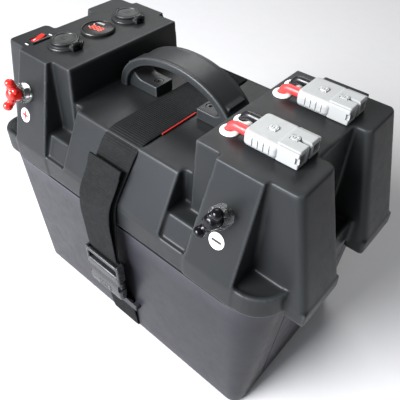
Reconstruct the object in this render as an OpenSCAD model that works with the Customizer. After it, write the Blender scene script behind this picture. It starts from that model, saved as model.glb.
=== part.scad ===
// Portable battery box: tapered tub, lift-off lid with two hollow towers, carry handle, fittings and strap.
// Frame: origin at the bottom centre, +X to the connector end, -Y to the terminal side, +Z up. Sizes in mm.

/* [Tub] */
// length of the base
base_l = 354; // [300:1:420]
// depth of the base
base_d = 208; // [170:1:250]
// length at the rim
rim_l = 384; // [330:1:386]
// how far the base sits towards the socket end
base_shift = 4; // [0:1:8]
// depth at the rim
rim_d = 221; // [180:1:260]
// height of the tub
tub_h = 226; // [180:1:280]
// plan corner radius at the base
base_r = 14; // [8:1:30]
// plan corner radius at the rim, connector end
rim_r = 50; // [34:1:60]
// plan corner radius at the rim, socket end
rim_r_left = 22; // [22:1:60]
// moulded wall
wall = 3; // [2:0.5:4]
// floor thickness
floor_t = 6.5; // [5:0.5:9]

/* [Lid] */
// overall height to the tower tops
lid_top = 330; // [280:1:380]
// length of the skirt between its rounded corners
skirt_l = 392; // [330:1:440]
// depth of the skirt
skirt_d = 230; // [190:1:270]
// skirt corner radius, connector end
skirt_r = 34; // [26:1:44]
// skirt corner radius, socket end
skirt_r_left = 24; // [20:1:25]
// height of the skirt band
skirt_h = 25; // [18:1:34]
// thickness of the shoulder above the rim
shoulder_t = 4; // [3:0.5:6]
// length over the end lobes at their foot
lobe_l = 434; // [380:1:480]
// height of the middle deck
deck_z = 292; // [250:1:320]
// depth of the deck's flat top
deck_d = 169; // [130:1:190]
// length of the deck's sloping front
deck_l = 140; // [100:1:150]

/* [Towers] */
// inner face of a tower from the middle
tower_in = 83; // [70:1:95]
// end recess wall of a tower from the middle
tower_out = 172; // [160:1:180]
// outer edge of a lobe's top from the middle
lobe_out = 187; // [178:1:200]
// half depth of a tower's core
core_y = 73; // [60:1:80]
// half depth of the lobes at the top
lobe_y = 79; // [70:1:90]
// half depth of the lobes at the foot
lobe_foot_y = 85; // [75:1:95]
// half width of the end recess
recess_y = 28; // [18:1:36]
// inner edge of a terminal panel at the top
panel_in = 111; // [104:1:118]
// outer edge of a terminal panel
panel_out = 158; // [150:1:162]
// half depth of a terminal panel's top
panel_y = 84; // [80:1:92]

/* [Handle] */
// length over the handle's feet
handle_l = 156; // [130:1:160]
// rise of the handle above the deck
handle_h = 51; // [44:1:70]
// width of the handle
handle_w = 36; // [28:1:44]
// thickness of the arch
handle_t = 13; // [9:1:18]
// screws from the middle
screw_x = 36; // [33:1:46]
// handle screw shank radius
screw_r = 2.5; // [2:0.25:3.5]

/* [Sockets and meter] */
// fittings row from the middle
row_x = 131; // [122:1:140]
// spacing of the round fittings
row_pitch = 45; // [43:1:50]
// radius of a round bezel
bezel_r = 19.5; // [17:0.5:21]
// radius of the barrel through the lid
barrel_r = 14.2; // [12:0.1:16]
// inner radius of a socket
socket_r = 10.6; // [10:0.1:11]
// depth of a socket
socket_h = 42; // [34:1:50]
// radius of a dust cap
cap_r = 15.5; // [14:0.5:17]

/* [Switch] */
// centre of the switch along X
switch_x = 161; // [155:1:168]
// centre of the switch from the middle
switch_y = 57; // [48:1:60]
// length of the switch frame
switch_l = 24; // [22:1:26]
// width of the switch frame
switch_w = 13; // [12:1:18]

/* [Terminals] */
// positive stud from the middle
stud_left = 141; // [128:1:142]
// negative stud from the middle
stud_right = 132; // [128:1:142]
// height of the studs
stud_z = 290; // [270:1:300]
// radius of a stud
stud_r = 4; // [3:0.25:5]
// radius of the bright collar
collar_r = 10.5; // [9:0.5:12]
// span of the wing nut
wing_span = 36; // [30:1:42]

/* [Connectors] */
// connector body length
plug_l = 48; // [40:1:60]
// connector body width
plug_w = 37; // [32:1:42]
// connector body height
plug_h = 16; // [14:1:20]
// rear face of the connectors from the middle
plug_x = 119; // [114:1:124]
// half of the spacing of the connectors
plug_y = 39; // [34:1:44]
// radius of a lead
lead_r = 4.2; // [3:0.1:4.5]
// grommets from the middle
grommet_x = 97; // [94:1:99]

/* [Strap] */
// width of the webbing
strap_w = 46; // [38:1:50]
// thickness of the webbing
strap_t = 1.8; // [1.4:0.1:2.4]
// middle of the strap along X
strap_x = -1; // [-4:1:3]
// sideways drift of the strap down to the buckle
strap_drift = 10; // [0:1:12]
// height of the buckle's middle
buckle_z = 118; // [90:1:140]

/* [Hidden] */
$fn = 64;
eps = 0.01;
slack = 0.3;
lid_fit = 0.8;
run_fit = 0.05;
skirt_z = tub_h - (skirt_h - shoulder_t);
shoulder_z = skirt_z + skirt_h;
foot_y = skirt_d / 2 - 1;
panel_foot = foot_y + 2;
tilt = atan((panel_foot - panel_y) / (lid_top - shoulder_z));
panel_foot_in = panel_in - 8;
groove = 7;
deck_y = deck_d / 2;
ledge_top = shoulder_z + 24;
stud_y = panel_y + (lid_top - stud_z) * tan(tilt);
sticker_r = 8;
sticker_drop = 26;
meter_y = 1;
inner_a = handle_l / 2 - handle_t - 3;
inner_h = handle_h - handle_t;
pad_h = 12;
pad_w = 25;
pad_in = screw_x - 8;
panel_wall = wall + 0.4;
panel_t = panel_wall * cos(tilt);
hang_y = foot_y + 5;
low_x = strap_x - strap_drift;
buckle_h = 64;
buckle_w = strap_w + 9;
buckle_t = 11;
buckle_y = 123;
slot_y = base_d / 2 + 4.2;
strap_line = buckle_y - 2;
keeper_z = 58;
sole = 4.6;
bridge_l = 40;
bridge_t = 2.2;
lip = 4;
split_z = skirt_z - 6;
top_gap = 0.3;
wing_lift = 9.4;
hinge_x = cap_r + 3.2;
hinge_r = 1.5;
rocker_tilt = 11;
plug_z = lid_top + top_gap;
lead_y = 9.6;
lead_bend = 7;
lead_tail = 45;
lead_grip = 17;
lead_z = plug_z + plug_h / 2;
nut_h = 13;
stud_reach = wing_lift + nut_h - 3;
edge_from = -56;
edge_to = -6;

// ---- shared shapes ----
// flat rounded slab, corner radius r at the +X end and q at the -X end
module slab(l, d, r, q, h) {
  union() {
    translate([-l / 2 + q, -d / 2, 0]) cube([l - q - r, d, h]);
    translate([-l / 2, -d / 2 + q, 0]) cube([q + 1, d - 2 * q, h]);
    translate([l / 2 - r - 1, -d / 2 + r, 0]) cube([r + 1, d - 2 * r, h]);
    for (y = [-1, 1]) {
      translate([l / 2 - r, y * (d / 2 - r), 0]) cylinder(r = r, h = h);
      translate([q - l / 2, y * (d / 2 - q), 0]) cylinder(r = q, h = h);
    }
  }
}

// profile in Y and Z, extruded along X from x1 to x2
module along_x(x1, x2, pts) {
  translate([x1, 0, 0]) rotate([90, 0, 90]) linear_extrude(height = x2 - x1) polygon(pts);
}

// profile in X and Z, extruded along Y from y1 to y2
module along_y(y1, y2, pts) {
  translate([0, y2, 0]) rotate([90, 0, 0]) linear_extrude(height = y2 - y1) polygon(pts);
}

module ring(r1, r2, h) {
  difference() {
    cylinder(r = r1, h = h);
    translate([0, 0, -1]) cylinder(r = r2, h = h + 2);
  }
}

module four() {
  for (sx = [0, 1]) mirror([sx, 0, 0]) for (sy = [0, 1]) mirror([0, sy, 0]) children();
}

// places children on a terminal panel, +Z along its outward normal
module on_panel(s) {
  translate([s > 0 ? stud_right : -stud_left, -stud_y, stud_z]) rotate([90 - tilt, 0, 0]) children();
}

// ---- tub ----
// tapered body inset by g, from z0 to the rim
module tub_shape(g, z0) {
  hull() for (x = [-1, 1]) for (y = [-1, 1]) {
    q = (x > 0 ? rim_r : rim_r_left) - g;
    translate([x * (base_l / 2 - base_r) - base_shift, y * (base_d / 2 - base_r), z0])
      cylinder(r = base_r - g, h = 0.2, $fn = 32);
    translate([x * (rim_l / 2 - g - q), y * (rim_d / 2 - g - q), tub_h - 0.2]) cylinder(r = q, h = 0.2, $fn = 32);
  }
}

module keeper() {
  translate([low_x - strap_w / 2 - 9, -slot_y - 4.8, keeper_z - 4.5]) difference() {
    cube([strap_w + 18, 10, 9]);
    translate([7, 2.6, -1]) cube([strap_w + 4, 4.4, 11]);
  }
}

module tub() {
  color([0.16, 0.16, 0.18]) difference() {
    union() {
      tub_shape(0, 0);
      translate([0, 0, tub_h - 4]) slab(skirt_l - 2 * wall - 2 * lid_fit, skirt_d - 2 * wall - 2 * lid_fit,
        skirt_r - wall - lid_fit, skirt_r_left - wall - lid_fit, 4);
      keeper();
      mirror([0, 1, 0]) keeper();
    }
    tub_shape(wall, floor_t);
    translate([0, 0, tub_h - 5]) slab(rim_l - 2 * wall, rim_d - 2 * wall, rim_r - wall, rim_r_left - wall, 6);
    difference() {
      translate([low_x - strap_w / 2 - 2, -base_d, -1]) cube([strap_w + 4, 2 * base_d, 1 + sole]);
      translate([low_x - strap_w, -bridge_l / 2, -2]) cube([2 * strap_w, bridge_l, 2 + bridge_t]);
    }
  }
}

// ---- lid ----
function lobe_x(z) = lobe_out + (lobe_l / 2 - lobe_out) * (lid_top - z) / (lid_top - skirt_z);
function lobe_side(z) = lobe_y + (lobe_foot_y - lobe_y) * (lid_top - z) / (lid_top - skirt_z);

module lobe() {
  r = 7;
  hull() {
    for (p = [[skirt_z, 0, lip], [skirt_z + lip + 2, 0, 0], [lid_top - 0.2, 1, 0]]) {
      x = lobe_x(p[0]) - p[2];
      y1 = recess_y - 4 + 4 * p[1] + p[2];
      y2 = lobe_side(p[0]) - p[2];
      for (c = [[panel_out + groove + 1, y1 + 1, 1], [x - r, y1 + r, r], [x - r, y2 - r, r], [panel_out + groove + 1, y2 - 1, 1]])
        translate([c[0], c[1], p[0]]) cylinder(r = c[2], h = 0.2, $fn = 32);
    }
  }
}

module lobe_room() {
  t = wall + 0.5;
  z1 = skirt_z + lip + 2;
  intersection() {
    along_y(0, 120, [[panel_out + groove + 1 + t, skirt_z - 1], [lobe_x(skirt_z) - t - lip, skirt_z - 1],
      [lobe_x(z1) - t, z1], [lobe_out - t, lid_top - wall], [panel_out + groove + 1 + t, lid_top - wall]]);
    along_x(panel_out, 260, [[recess_y - 4 + t + lip, skirt_z - 1], [lobe_foot_y - t - lip, skirt_z - 1],
      [lobe_side(z1) - t, z1], [lobe_y - t, lid_top - wall], [recess_y + t, lid_top - wall], [recess_y - 4 + t, z1]]);
  }
}

module panel_block(g) {
  intersection() {
    along_x(panel_foot_in - 10, panel_out - g, [[0, skirt_z], [panel_foot - g, skirt_z], [panel_foot - g, shoulder_z],
      [panel_y - g + g * tan(tilt), lid_top - g], [0, lid_top - g]]);
    along_y(0, 140, [[panel_foot_in + g, skirt_z], [panel_foot_in + g, shoulder_z], [panel_in + g, lid_top - g],
      [panel_out, lid_top - g], [panel_out, skirt_z]]);
  }
}

module deck_block(g) {
  along_x(0, deck_l / 2 - g, [[0, shoulder_z - shoulder_t - eps], [foot_y - g, shoulder_z - shoulder_t - eps],
    [foot_y - g, shoulder_z], [deck_y - g, deck_z - g], [0, deck_z - g]]);
}

module ledge_block(g) {
  along_x(deck_l / 2 - 20, panel_in - g, [[0, shoulder_z - 1], [foot_y - g, shoulder_z - 1], [foot_y - g, shoulder_z],
    [foot_y - 12 - g, ledge_top - g], [0, ledge_top - g]]);
}

module inner_lobe(g) {
  along_x(tower_in + g, panel_in - groove - g, [[0, shoulder_z - 1], [core_y + 12 - g, shoulder_z - 1],
    [core_y + 4 - g, lid_top - g], [0, lid_top - g]]);
}

module core(g) {
  z0 = shoulder_z - shoulder_t - eps;
  translate([-eps, -eps, z0]) cube([tower_in + 4, core_y + 4 - g, deck_z - g - z0]);
  translate([tower_in + g, -eps, z0]) cube([tower_out - tower_in - 2 * g, core_y - g, lid_top - g - z0]);
}

module quarter_outside() {
  core(0);
  lobe();
  panel_block(0);
  deck_block(0);
  ledge_block(0);
  inner_lobe(0);
}

module quarter_inside() {
  t = wall;
  difference() {
    union() {
      core(t);
      panel_block(panel_wall);
      deck_block(t);
      ledge_block(t);
      inner_lobe(t);
      translate([tower_out - 12, recess_y + 4, shoulder_z - shoulder_t])
        cube([14, core_y - recess_y - 4 - t, lid_top - t - shoulder_z + shoulder_t]);
    }
    translate([-1, -1, skirt_z - 1]) cube([300, 200, shoulder_z - shoulder_t - skirt_z + 1]);
    difference() {
      translate([-1, -1, shoulder_z - shoulder_t]) cube([300, 200, 2 * shoulder_t]);
      translate([0, 0, shoulder_z - shoulder_t - 1]) slab(rim_l - 12, rim_d - 12, rim_r - 6, rim_r_left - 6, 4 * shoulder_t);
    }
  }
  lobe_room();
}

module skirt_shape(g, z, h) {
  translate([0, 0, z]) slab(skirt_l - 2 * g, skirt_d - 2 * g, skirt_r - g, skirt_r_left - g, h);
}

module lid_holes() {
  for (y = [-1, 0, 1]) translate([-row_x, meter_y + y * row_pitch, lid_top - 8]) cylinder(r = barrel_r + slack, h = 12);
  translate([-switch_x - switch_w / 2 + 1, -switch_y - switch_l / 2 + 1, lid_top - 8])
    cube([switch_w - 2, switch_l - 2, 12]);
  for (s = [-1, 1]) on_panel(s) translate([0, 0, -8]) cylinder(r = stud_r + 0.2, h = 12);
  for (p = grommet_at()) translate([p[0], p[1], lid_top - 8]) cylinder(r = 6.5 + slack, h = 12);
  for (s = [-1, 1]) for (x = plug_bolts()) translate([x, s * plug_y, lid_top - 8]) cylinder(r = 2.2, h = 12);
  for (s = [-1, 1]) translate([s * screw_x, 0, deck_z - 8]) cylinder(r = screw_r + 0.2, h = 12);
}

function grommet_at() = [for (s = [-1, 1]) for (k = [-1, 1]) [grommet_x, s * plug_y + k * lead_y]];
function plug_bolts() = [plug_x + 14, plug_x + 34];

module lid() {
  color([0.15, 0.15, 0.16]) difference() {
    union() {
      skirt_shape(0, skirt_z, skirt_h);
      four() quarter_outside();
    }
    skirt_shape(wall, skirt_z - 1, skirt_h - shoulder_t + 1);
    four() quarter_inside();
    lid_holes();
  }
}

// ---- handle ----
module arch(a, h, w) {
  translate([0, w / 2, deck_z]) rotate([90, 0, 0]) linear_extrude(height = w) scale([a / h, 1]) circle(r = h, $fn = 96);
}

module handle() {
  color([0.17, 0.17, 0.18]) difference() {
    union() {
      difference() {
        arch(handle_l / 2, handle_h, handle_w);
        arch(inner_a, inner_h, handle_w + 2);
      }
      difference() {
        for (s = [-1, 1]) translate([s * (pad_in + inner_a + 4) / 2 - (inner_a + 4 - pad_in) / 2, -pad_w / 2, deck_z])
          cube([inner_a + 4 - pad_in, pad_w, pad_h + 11]);
        for (s = [-1, 1]) hull() {
          translate([s * (inner_a - 14), pad_w, deck_z + pad_h + 9]) rotate([90, 0, 0]) cylinder(r = 9, h = 2 * pad_w, $fn = 32);
          translate([s * (pad_in - 14), pad_w, deck_z + pad_h + 9]) rotate([90, 0, 0]) cylinder(r = 9, h = 2 * pad_w, $fn = 32);
          translate([s * (inner_a - 14), pad_w, deck_z + pad_h + 30]) rotate([90, 0, 0]) cylinder(r = 9, h = 2 * pad_w, $fn = 32);
        }
      }
    }
    translate([-100, -50, deck_z - 80]) cube([200, 100, 80]);
    for (s = [-1, 1]) translate([s * screw_x, 0, deck_z - 1]) {
      cylinder(r = screw_r + 0.2, h = 40);
      translate([0, 0, pad_h - 3]) cylinder(r = 5.4, h = 20);
    }
  }
}

module handle_screws() {
  color([0.1, 0.1, 0.11]) for (s = [-1, 1]) translate([s * screw_x, 0, deck_z]) difference() {
    union() {
      translate([0, 0, -wall - 9]) cylinder(r = screw_r, h = wall + 9 + pad_h - 2);
      translate([0, 0, pad_h - 3]) cylinder(r = 4.7, h = 2.6);
    }
    translate([0, 0, pad_h - 1.8]) cylinder(r = 2.2, h = 5, $fn = 6);
  }
}

module handle_nuts() {
  color([0.75, 0.76, 0.78]) for (s = [-1, 1]) translate([s * screw_x, 0, deck_z - wall]) {
    translate([0, 0, -1]) ring(7, screw_r + 0.1, 1);
    translate([0, 0, -5]) difference() {
      cylinder(r = 4.7, h = 4, $fn = 6);
      translate([0, 0, -1]) cylinder(r = screw_r + run_fit, h = 6);
    }
  }
}

// ---- round fittings ----
module at_row(k) {
  translate([-row_x, meter_y + k * row_pitch, lid_top]) children();
}

module socket_bodies() {
  color([0.08, 0.08, 0.09]) for (k = [-1, 1]) at_row(k) difference() {
    union() {
      cylinder(r = bezel_r, h = 2.4);
      translate([0, 0, 2.4]) cylinder(r1 = bezel_r - 1, r2 = cap_r + 0.4, h = 1.6);
      translate([0, 0, -socket_h]) cylinder(r = barrel_r, h = socket_h + 1);
      for (s = [-1, 1]) translate([hinge_x - 2.4, s * 5 - 1.5, 2]) cube([4.8, 3, 5.2]);
    }
    translate([0, 0, -socket_h + 3]) cylinder(r = socket_r + 1.2, h = 60);
    translate([0, 0, -socket_h - 1]) cylinder(r = 2.6, h = 6);
    translate([hinge_x, 20, 6]) rotate([90, 0, 0]) cylinder(r = hinge_r, h = 40);
  }
}

module socket_shells() {
  color([0.72, 0.73, 0.75]) for (k = [-1, 1]) at_row(k) difference() {
    translate([0, 0, -socket_h + 3]) cylinder(r = socket_r + 1.2, h = socket_h + 0.4);
    translate([0, 0, -socket_h + 10]) cylinder(r = socket_r, h = 60);
    translate([0, 0, -socket_h + 4]) cylinder(r = socket_r - 1, h = 60);
    translate([0, 0, -socket_h - 1]) cylinder(r = 4.5, h = 10);
  }
}

module socket_contacts() {
  color([0.75, 0.6, 0.25]) for (k = [-1, 1]) at_row(k) {
    translate([0, 0, -socket_h - 6]) cylinder(r = 2.6, h = 12.6);
    translate([0, 0, -socket_h + 6.6]) cylinder(r1 = 2.6, r2 = 1.4, h = 2);
  }
}

module socket_nuts() {
  color([0.09, 0.09, 0.1]) for (k = [-1, 1]) at_row(k) translate([0, 0, -wall - 7]) difference() {
    cylinder(r = barrel_r + 4, h = 7, $fn = 12);
    translate([0, 0, -1]) cylinder(r = barrel_r + run_fit, h = 9);
  }
}

module cap_shape() {
  difference() {
    union() {
      translate([0, 0, 4.3]) cylinder(r = cap_r, h = 2.6);
      translate([0, 0, 6.9]) ring(cap_r - 1.6, cap_r - 3.4, 0.7);
      translate([0, 0, 3.6]) cylinder(r = socket_r - 0.9, h = 1.4);
      translate([cap_r - 4, -3.1, 4.3]) cube([hinge_x - cap_r + 4, 6.2, 2.6]);
      translate([hinge_x, 3.1, 6]) rotate([90, 0, 0]) cylinder(r = 3, h = 6.2);
      translate([-cap_r - 2, -4, 4.3]) cube([4, 8, 2.6]);
    }
    cylinder(r = socket_r - 2.4, h = 4.4);
    translate([hinge_x, 20, 6]) rotate([90, 0, 0]) cylinder(r = hinge_r + run_fit, h = 40);
  }
}

module cap_1() {
  color([0.07, 0.07, 0.08]) at_row(-1) cap_shape();
}

module cap_2() {
  color([0.07, 0.07, 0.08]) at_row(1) cap_shape();
}

module cap_pins() {
  color([0.6, 0.61, 0.63]) for (k = [-1, 1]) at_row(k) translate([hinge_x, 6.9, 6]) rotate([90, 0, 0])
    cylinder(r = hinge_r, h = 13.8);
}

module meter_body() {
  color([0.07, 0.07, 0.08]) at_row(0) difference() {
    union() {
      cylinder(r = bezel_r, h = 2.6);
      translate([0, 0, 2.6]) cylinder(r1 = bezel_r, r2 = bezel_r - 1.6, h = 1.4);
      translate([0, 0, -26]) cylinder(r = barrel_r, h = 27);
    }
    translate([0, 0, 1.2]) cylinder(r = bezel_r - 2.4, h = 5);
    translate([-4.4, -10.2, -0.2]) cube([8.8, 20.4, 3]);
  }
}

module meter_lens() {
  color([0.1, 0.02, 0.02]) at_row(0) translate([0, 0, 1.6]) cylinder(r = bezel_r - 2.5, h = 1.4);
}

module digit() {
  for (y = [-2, 2]) translate([-3.4, y - 0.45, 0]) cube([6.8, 0.9, 0.8]);
  for (x = [-3.4, -0.45, 2.5]) translate([x, -1.56, 0]) cube([0.9, 3.12, 0.8]);
}

module meter_digits() {
  color([0.95, 0.1, 0.08]) at_row(0) {
    translate([-4.3, -10.1, -0.1]) cube([8.6, 20.2, 0.7]);
    for (k = [-1, 0, 1]) translate([0, k * 6.4, 0.6]) digit();
  }
}

module meter_nut() {
  color([0.09, 0.09, 0.1]) at_row(0) translate([0, 0, -wall - 7]) difference() {
    cylinder(r = barrel_r + 4, h = 7, $fn = 12);
    translate([0, 0, -1]) cylinder(r = barrel_r + run_fit, h = 9);
  }
}

// ---- switch ----
module at_switch() {
  translate([-switch_x, -switch_y, lid_top]) children();
}

module switch_frame() {
  color([0.08, 0.08, 0.09]) at_switch() difference() {
    union() {
      translate([-switch_w / 2, -switch_l / 2, 0]) cube([switch_w, switch_l, 2]);
      translate([-switch_w / 2 + 1.5, -switch_l / 2 + 1.5, -17]) cube([switch_w - 3, switch_l - 3, 18]);
    }
    translate([-switch_w / 2 + 3, -switch_l / 2 + 2.8, -12]) cube([switch_w - 6, switch_l - 5.6, 20]);
    translate([-20, 0, -1]) rotate([0, 90, 0]) cylinder(r = 1.6, h = 40);
  }
}

module rocker() {
  w = switch_w - 6.6;
  color([0.9, 0.05, 0.05]) at_switch() translate([0, 0, -1]) rotate([rocker_tilt, 0, 0]) union() {
    translate([-w / 2, 0, 0]) rotate([90, 0, 90]) linear_extrude(height = w)
      polygon([[-7.8, 1], [0, -2.2], [7.8, 1], [7.8, 4.3], [0, 2.9], [-7.8, 4.3]]);
    translate([-switch_w / 2 + 1.7, 0, 0]) rotate([0, 90, 0]) cylinder(r = 1.6 - run_fit, h = switch_w - 3.4);
  }
}

module switch_tabs() {
  color([0.78, 0.68, 0.4]) at_switch() for (y = [-6, 0, 6]) translate([-2.4, y - 0.4, -25]) cube([4.8, 0.8, 8]);
}

// ---- terminals ----
module stud() {
  translate([0, 0, -panel_t - 7.2]) cylinder(r = 7, h = 5.4, $fn = 6);
  translate([0, 0, -panel_t - 3]) cylinder(r = stud_r, h = panel_t + 3 + stud_reach);
}

module stud_pos() {
  color([0.78, 0.79, 0.8]) on_panel(-1) stud();
}

module stud_neg() {
  color([0.78, 0.79, 0.8]) on_panel(1) stud();
}

module collars() {
  color([0.85, 0.86, 0.88]) for (s = [-1, 1]) on_panel(s) difference() {
    union() {
      cylinder(r = collar_r, h = 1.6);
      translate([0, 0, 1.6]) cylinder(r1 = collar_r - 0.6, r2 = collar_r - 1.4, h = 5.4);
      translate([0, 0, 7]) cylinder(r = collar_r - 0.8, h = 1.6);
    }
    translate([0, 0, -1]) cylinder(r = stud_r + 0.1, h = 20);
    translate([0, 0, 2.4]) ring(collar_r - 2.4, stud_r + 2, 10);
  }
}

module stud_washers() {
  color([0.7, 0.71, 0.73]) for (s = [-1, 1]) on_panel(s) translate([0, 0, -panel_t - 1.8]) ring(9, stud_r + 0.1, 1.8);
}

module wing() {
  difference() {
    union() {
      cylinder(r1 = 7.4, r2 = 6.4, h = nut_h);
      for (s = [-1, 1]) hull() {
        translate([s * 4, 0, 5]) rotate([90, 0, 0]) translate([0, 0, -2.2]) cylinder(r = 4.6, h = 4.4, $fn = 24);
        translate([s * (wing_span / 2 - 5), 0, 10]) rotate([90, 0, 0]) translate([0, 0, -1.8]) cylinder(r = 5, h = 3.6, $fn = 24);
      }
    }
    translate([0, 0, -1]) cylinder(r = stud_r + run_fit, h = 1 + nut_h - 2);
  }
}

module wing_pos() {
  color([0.85, 0.05, 0.04]) on_panel(-1) translate([0, 0, wing_lift]) rotate([0, 0, 86]) wing();
}

module wing_neg() {
  color([0.05, 0.05, 0.06]) on_panel(1) translate([0, 0, wing_lift]) rotate([0, 0, 64]) wing();
}

module sticker() {
  translate([0, -sticker_drop, 0]) cylinder(r = sticker_r, h = 0.4);
}

module sticker_pos() {
  color([0.95, 0.95, 0.95]) on_panel(-1) sticker();
}

module sticker_neg() {
  color([0.95, 0.95, 0.95]) on_panel(1) sticker();
}

module sticker_marks() {
  color([0.2, 0.05, 0.05]) {
    on_panel(-1) translate([0, -sticker_drop, 0.4]) union() {
      translate([-4.4, -1.1, 0]) cube([8.8, 2.2, 0.3]);
      translate([-1.1, -4.4, 0]) cube([2.2, 8.8, 0.3]);
    }
    on_panel(1) translate([-4.4, -sticker_drop - 1, 0.4]) cube([8.8, 2, 0.3]);
  }
}

// ---- connectors ----
module plug() {
  step = 1.6;
  difference() {
    union() {
      translate([0, -plug_w / 2 + step, 0]) cube([plug_l, plug_w - 2 * step, plug_h - 1.4]);
      translate([0, -plug_w / 2, 1.2]) cube([plug_l * 0.62, plug_w, plug_h - 3.6]);
      translate([plug_l * 0.12, -6.5, 0]) cube([plug_l * 0.7, 13, plug_h]);
    }
    for (s = [-1, 1]) {
      translate([plug_l - 17, s * lead_y - 4.4, plug_h / 2 - 4.4]) cube([20, 8.8, 8.8]);
      translate([-1, s * lead_y, plug_h / 2]) rotate([0, 90, 0]) cylinder(r = lead_r + 0.2, h = lead_grip + 1.5);
      translate([lead_grip, s * lead_y - 3.3, plug_h / 2 - 1.3]) cube([plug_l - 16 - lead_grip, 6.6, 2.6]);
      for (k = [0:4]) translate([6 + k * 4.6, s * (plug_w / 2 + 0.4) - 0.8, 3.6]) cube([1.4, 1.6, plug_h - 8.2]);
    }
    for (x = plug_bolts()) translate([x - plug_x, 0, -1]) {
      cylinder(r = 2.2, h = 40);
      translate([0, 0, plug_h - 2.2]) cylinder(r = 4.2, h = 10);
    }
    translate([plug_l - 10, -2.2, -1]) cube([12, 4.4, plug_h + 2]);
  }
}

module at_plug(s) {
  translate([plug_x, s * plug_y, plug_z]) children();
}

module plug_1() {
  color([0.8, 0.82, 0.83]) at_plug(-1) plug();
}

module plug_2() {
  color([0.8, 0.82, 0.83]) at_plug(1) plug();
}

module plug_contacts() {
  color([0.8, 0.8, 0.78]) for (k = [-1, 1]) at_plug(k) for (s = [-1, 1])
    translate([lead_grip + 1, s * lead_y - 3.2, plug_h / 2 - 1.2]) cube([plug_l - 15 - lead_grip, 6.4, 2.4]);
}

module plug_screws() {
  color([0.8, 0.81, 0.82]) for (s = [-1, 1]) for (x = plug_bolts()) translate([x, s * plug_y, plug_z]) {
    translate([0, 0, -wall - 7]) cylinder(r = 2, h = wall + 7 + plug_h - 2);
    translate([0, 0, plug_h - 2.2]) difference() {
      cylinder(r = 3.9, h = 1.8);
      for (a = [0, 90]) rotate([0, 0, a]) translate([-2.4, -0.4, 0.9]) cube([4.8, 0.8, 2]);
    }
    translate([0, 0, -top_gap - wall - 3.4]) cylinder(r = 3.9, h = 3.4, $fn = 6);
  }
}

module grommets() {
  color([0.93, 0.93, 0.93]) for (p = grommet_at()) translate([p[0], p[1], lid_top]) difference() {
    union() {
      cylinder(r1 = 9, r2 = 7.6, h = 2);
      translate([0, 0, -wall - 2]) cylinder(r = 6.5, h = wall + 3);
      translate([0, 0, -wall - 2]) cylinder(r = 8, h = 2);
    }
    translate([0, 0, -10]) cylinder(r = lead_r + 0.2, h = 20);
  }
}

// lead: up through a grommet, a quarter turn, then straight into the connector's rear
module lead(y) {
  translate([grommet_x, y, lid_top - lead_tail]) cylinder(r = lead_r, h = lead_tail + lead_z - lid_top - lead_bend);
  translate([grommet_x + lead_bend, y, lead_z - lead_bend]) rotate([90, 0, 0]) rotate([0, 0, 90])
    rotate_extrude(angle = 90) translate([lead_bend, 0]) circle(r = lead_r, $fn = 32);
  translate([grommet_x + lead_bend, y, lead_z]) rotate([0, 90, 0])
    cylinder(r = lead_r, h = plug_x + lead_grip - grommet_x - lead_bend);
}

module leads_red() {
  color([0.88, 0.2, 0.2]) for (s = [-1, 1]) lead(s * plug_y - lead_y);
}

module leads_black() {
  color([0.06, 0.06, 0.07]) for (s = [-1, 1]) lead(s * plug_y + lead_y);
}

// ---- strap ----
// webbing through points [y, z, middle x] on its own middle line
module ribbon(pts) {
  union() for (i = [0:len(pts) - 2]) hull() for (p = [pts[i], pts[i + 1]])
    translate([p[2] - strap_w / 2, p[0], p[1]]) rotate([0, 90, 0]) cylinder(r = strap_t / 2, h = strap_w, $fn = 12);
}

module strap_upper() {
  f = slack + strap_t / 2;
  z0 = buckle_z + 14;
  color([0.06, 0.06, 0.07]) ribbon([[-strap_line, z0, low_x], [-strap_line, z0 + 24, low_x],
    [-hang_y, skirt_z, low_x + 2], [-foot_y - 1.2 - f, shoulder_z, low_x + 3], [-deck_y - f, deck_z + f, strap_x],
    [deck_y + f, deck_z + f, strap_x], [foot_y + 1.2 + f, shoulder_z, low_x + 3], [foot_y + 1.2 + f, skirt_z, low_x],
    [foot_y, split_z, low_x]]);
}

module strap_tail() {
  g = strap_t + slack;
  z0 = buckle_z + 32;
  color([0.06, 0.06, 0.07]) ribbon([[-strap_line - g, z0, low_x], [-strap_line - g - 1, z0 + 10, low_x],
    [-hang_y - g - 4, skirt_z - 14, low_x + 1], [-hang_y - g - 5, skirt_z + 6, low_x + 1],
    [-hang_y - g - 2, shoulder_z + 4, low_x + 2], [-foot_y + 4 - g, shoulder_z + 24, low_x + 3]]);
}

module strap_edge() {
  color([0.8, 0.1, 0.08]) translate([strap_x + strap_w / 2, edge_from, deck_z])
    cube([1.2, edge_to - edge_from, slack + strap_t]);
}

module strap_lower() {
  f = slack + strap_t / 2;
  b = base_d / 2;
  color([0.06, 0.06, 0.07]) ribbon([[foot_y, split_z - strap_t - slack, low_x], [slot_y, keeper_z + 24, low_x],
    [slot_y, keeper_z - 24, low_x], [b + f, sole - f, low_x], [-b - f, sole - f, low_x],
    [-slot_y, keeper_z - 24, low_x], [-slot_y, keeper_z + 5, low_x], [-strap_line, buckle_z - buckle_h / 2 - 1, low_x],
    [-strap_line, buckle_z - 18, low_x]]);
}

// ---- buckle ----
module buckle_female() {
  color([0.1, 0.1, 0.11]) translate([low_x, -buckle_y, buckle_z - buckle_h / 2]) difference() {
    translate([-buckle_w / 2, -buckle_t / 2, 0]) cube([buckle_w, buckle_t, buckle_h / 2]);
    translate([-buckle_w / 2 + 3, -buckle_t / 2 + 2.4, 15]) cube([buckle_w - 6, buckle_t - 4.8, buckle_h]);
    translate([-strap_w / 2 - 1, buckle_y - strap_line - 1.5, -1]) cube([strap_w + 2, 3, buckle_h / 2 - 16]);
    for (s = [-1, 1]) translate([s * buckle_w / 2 - 4, -buckle_t / 2 - 1, 17]) cube([8, buckle_t + 2, 9]);
  }
}

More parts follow.
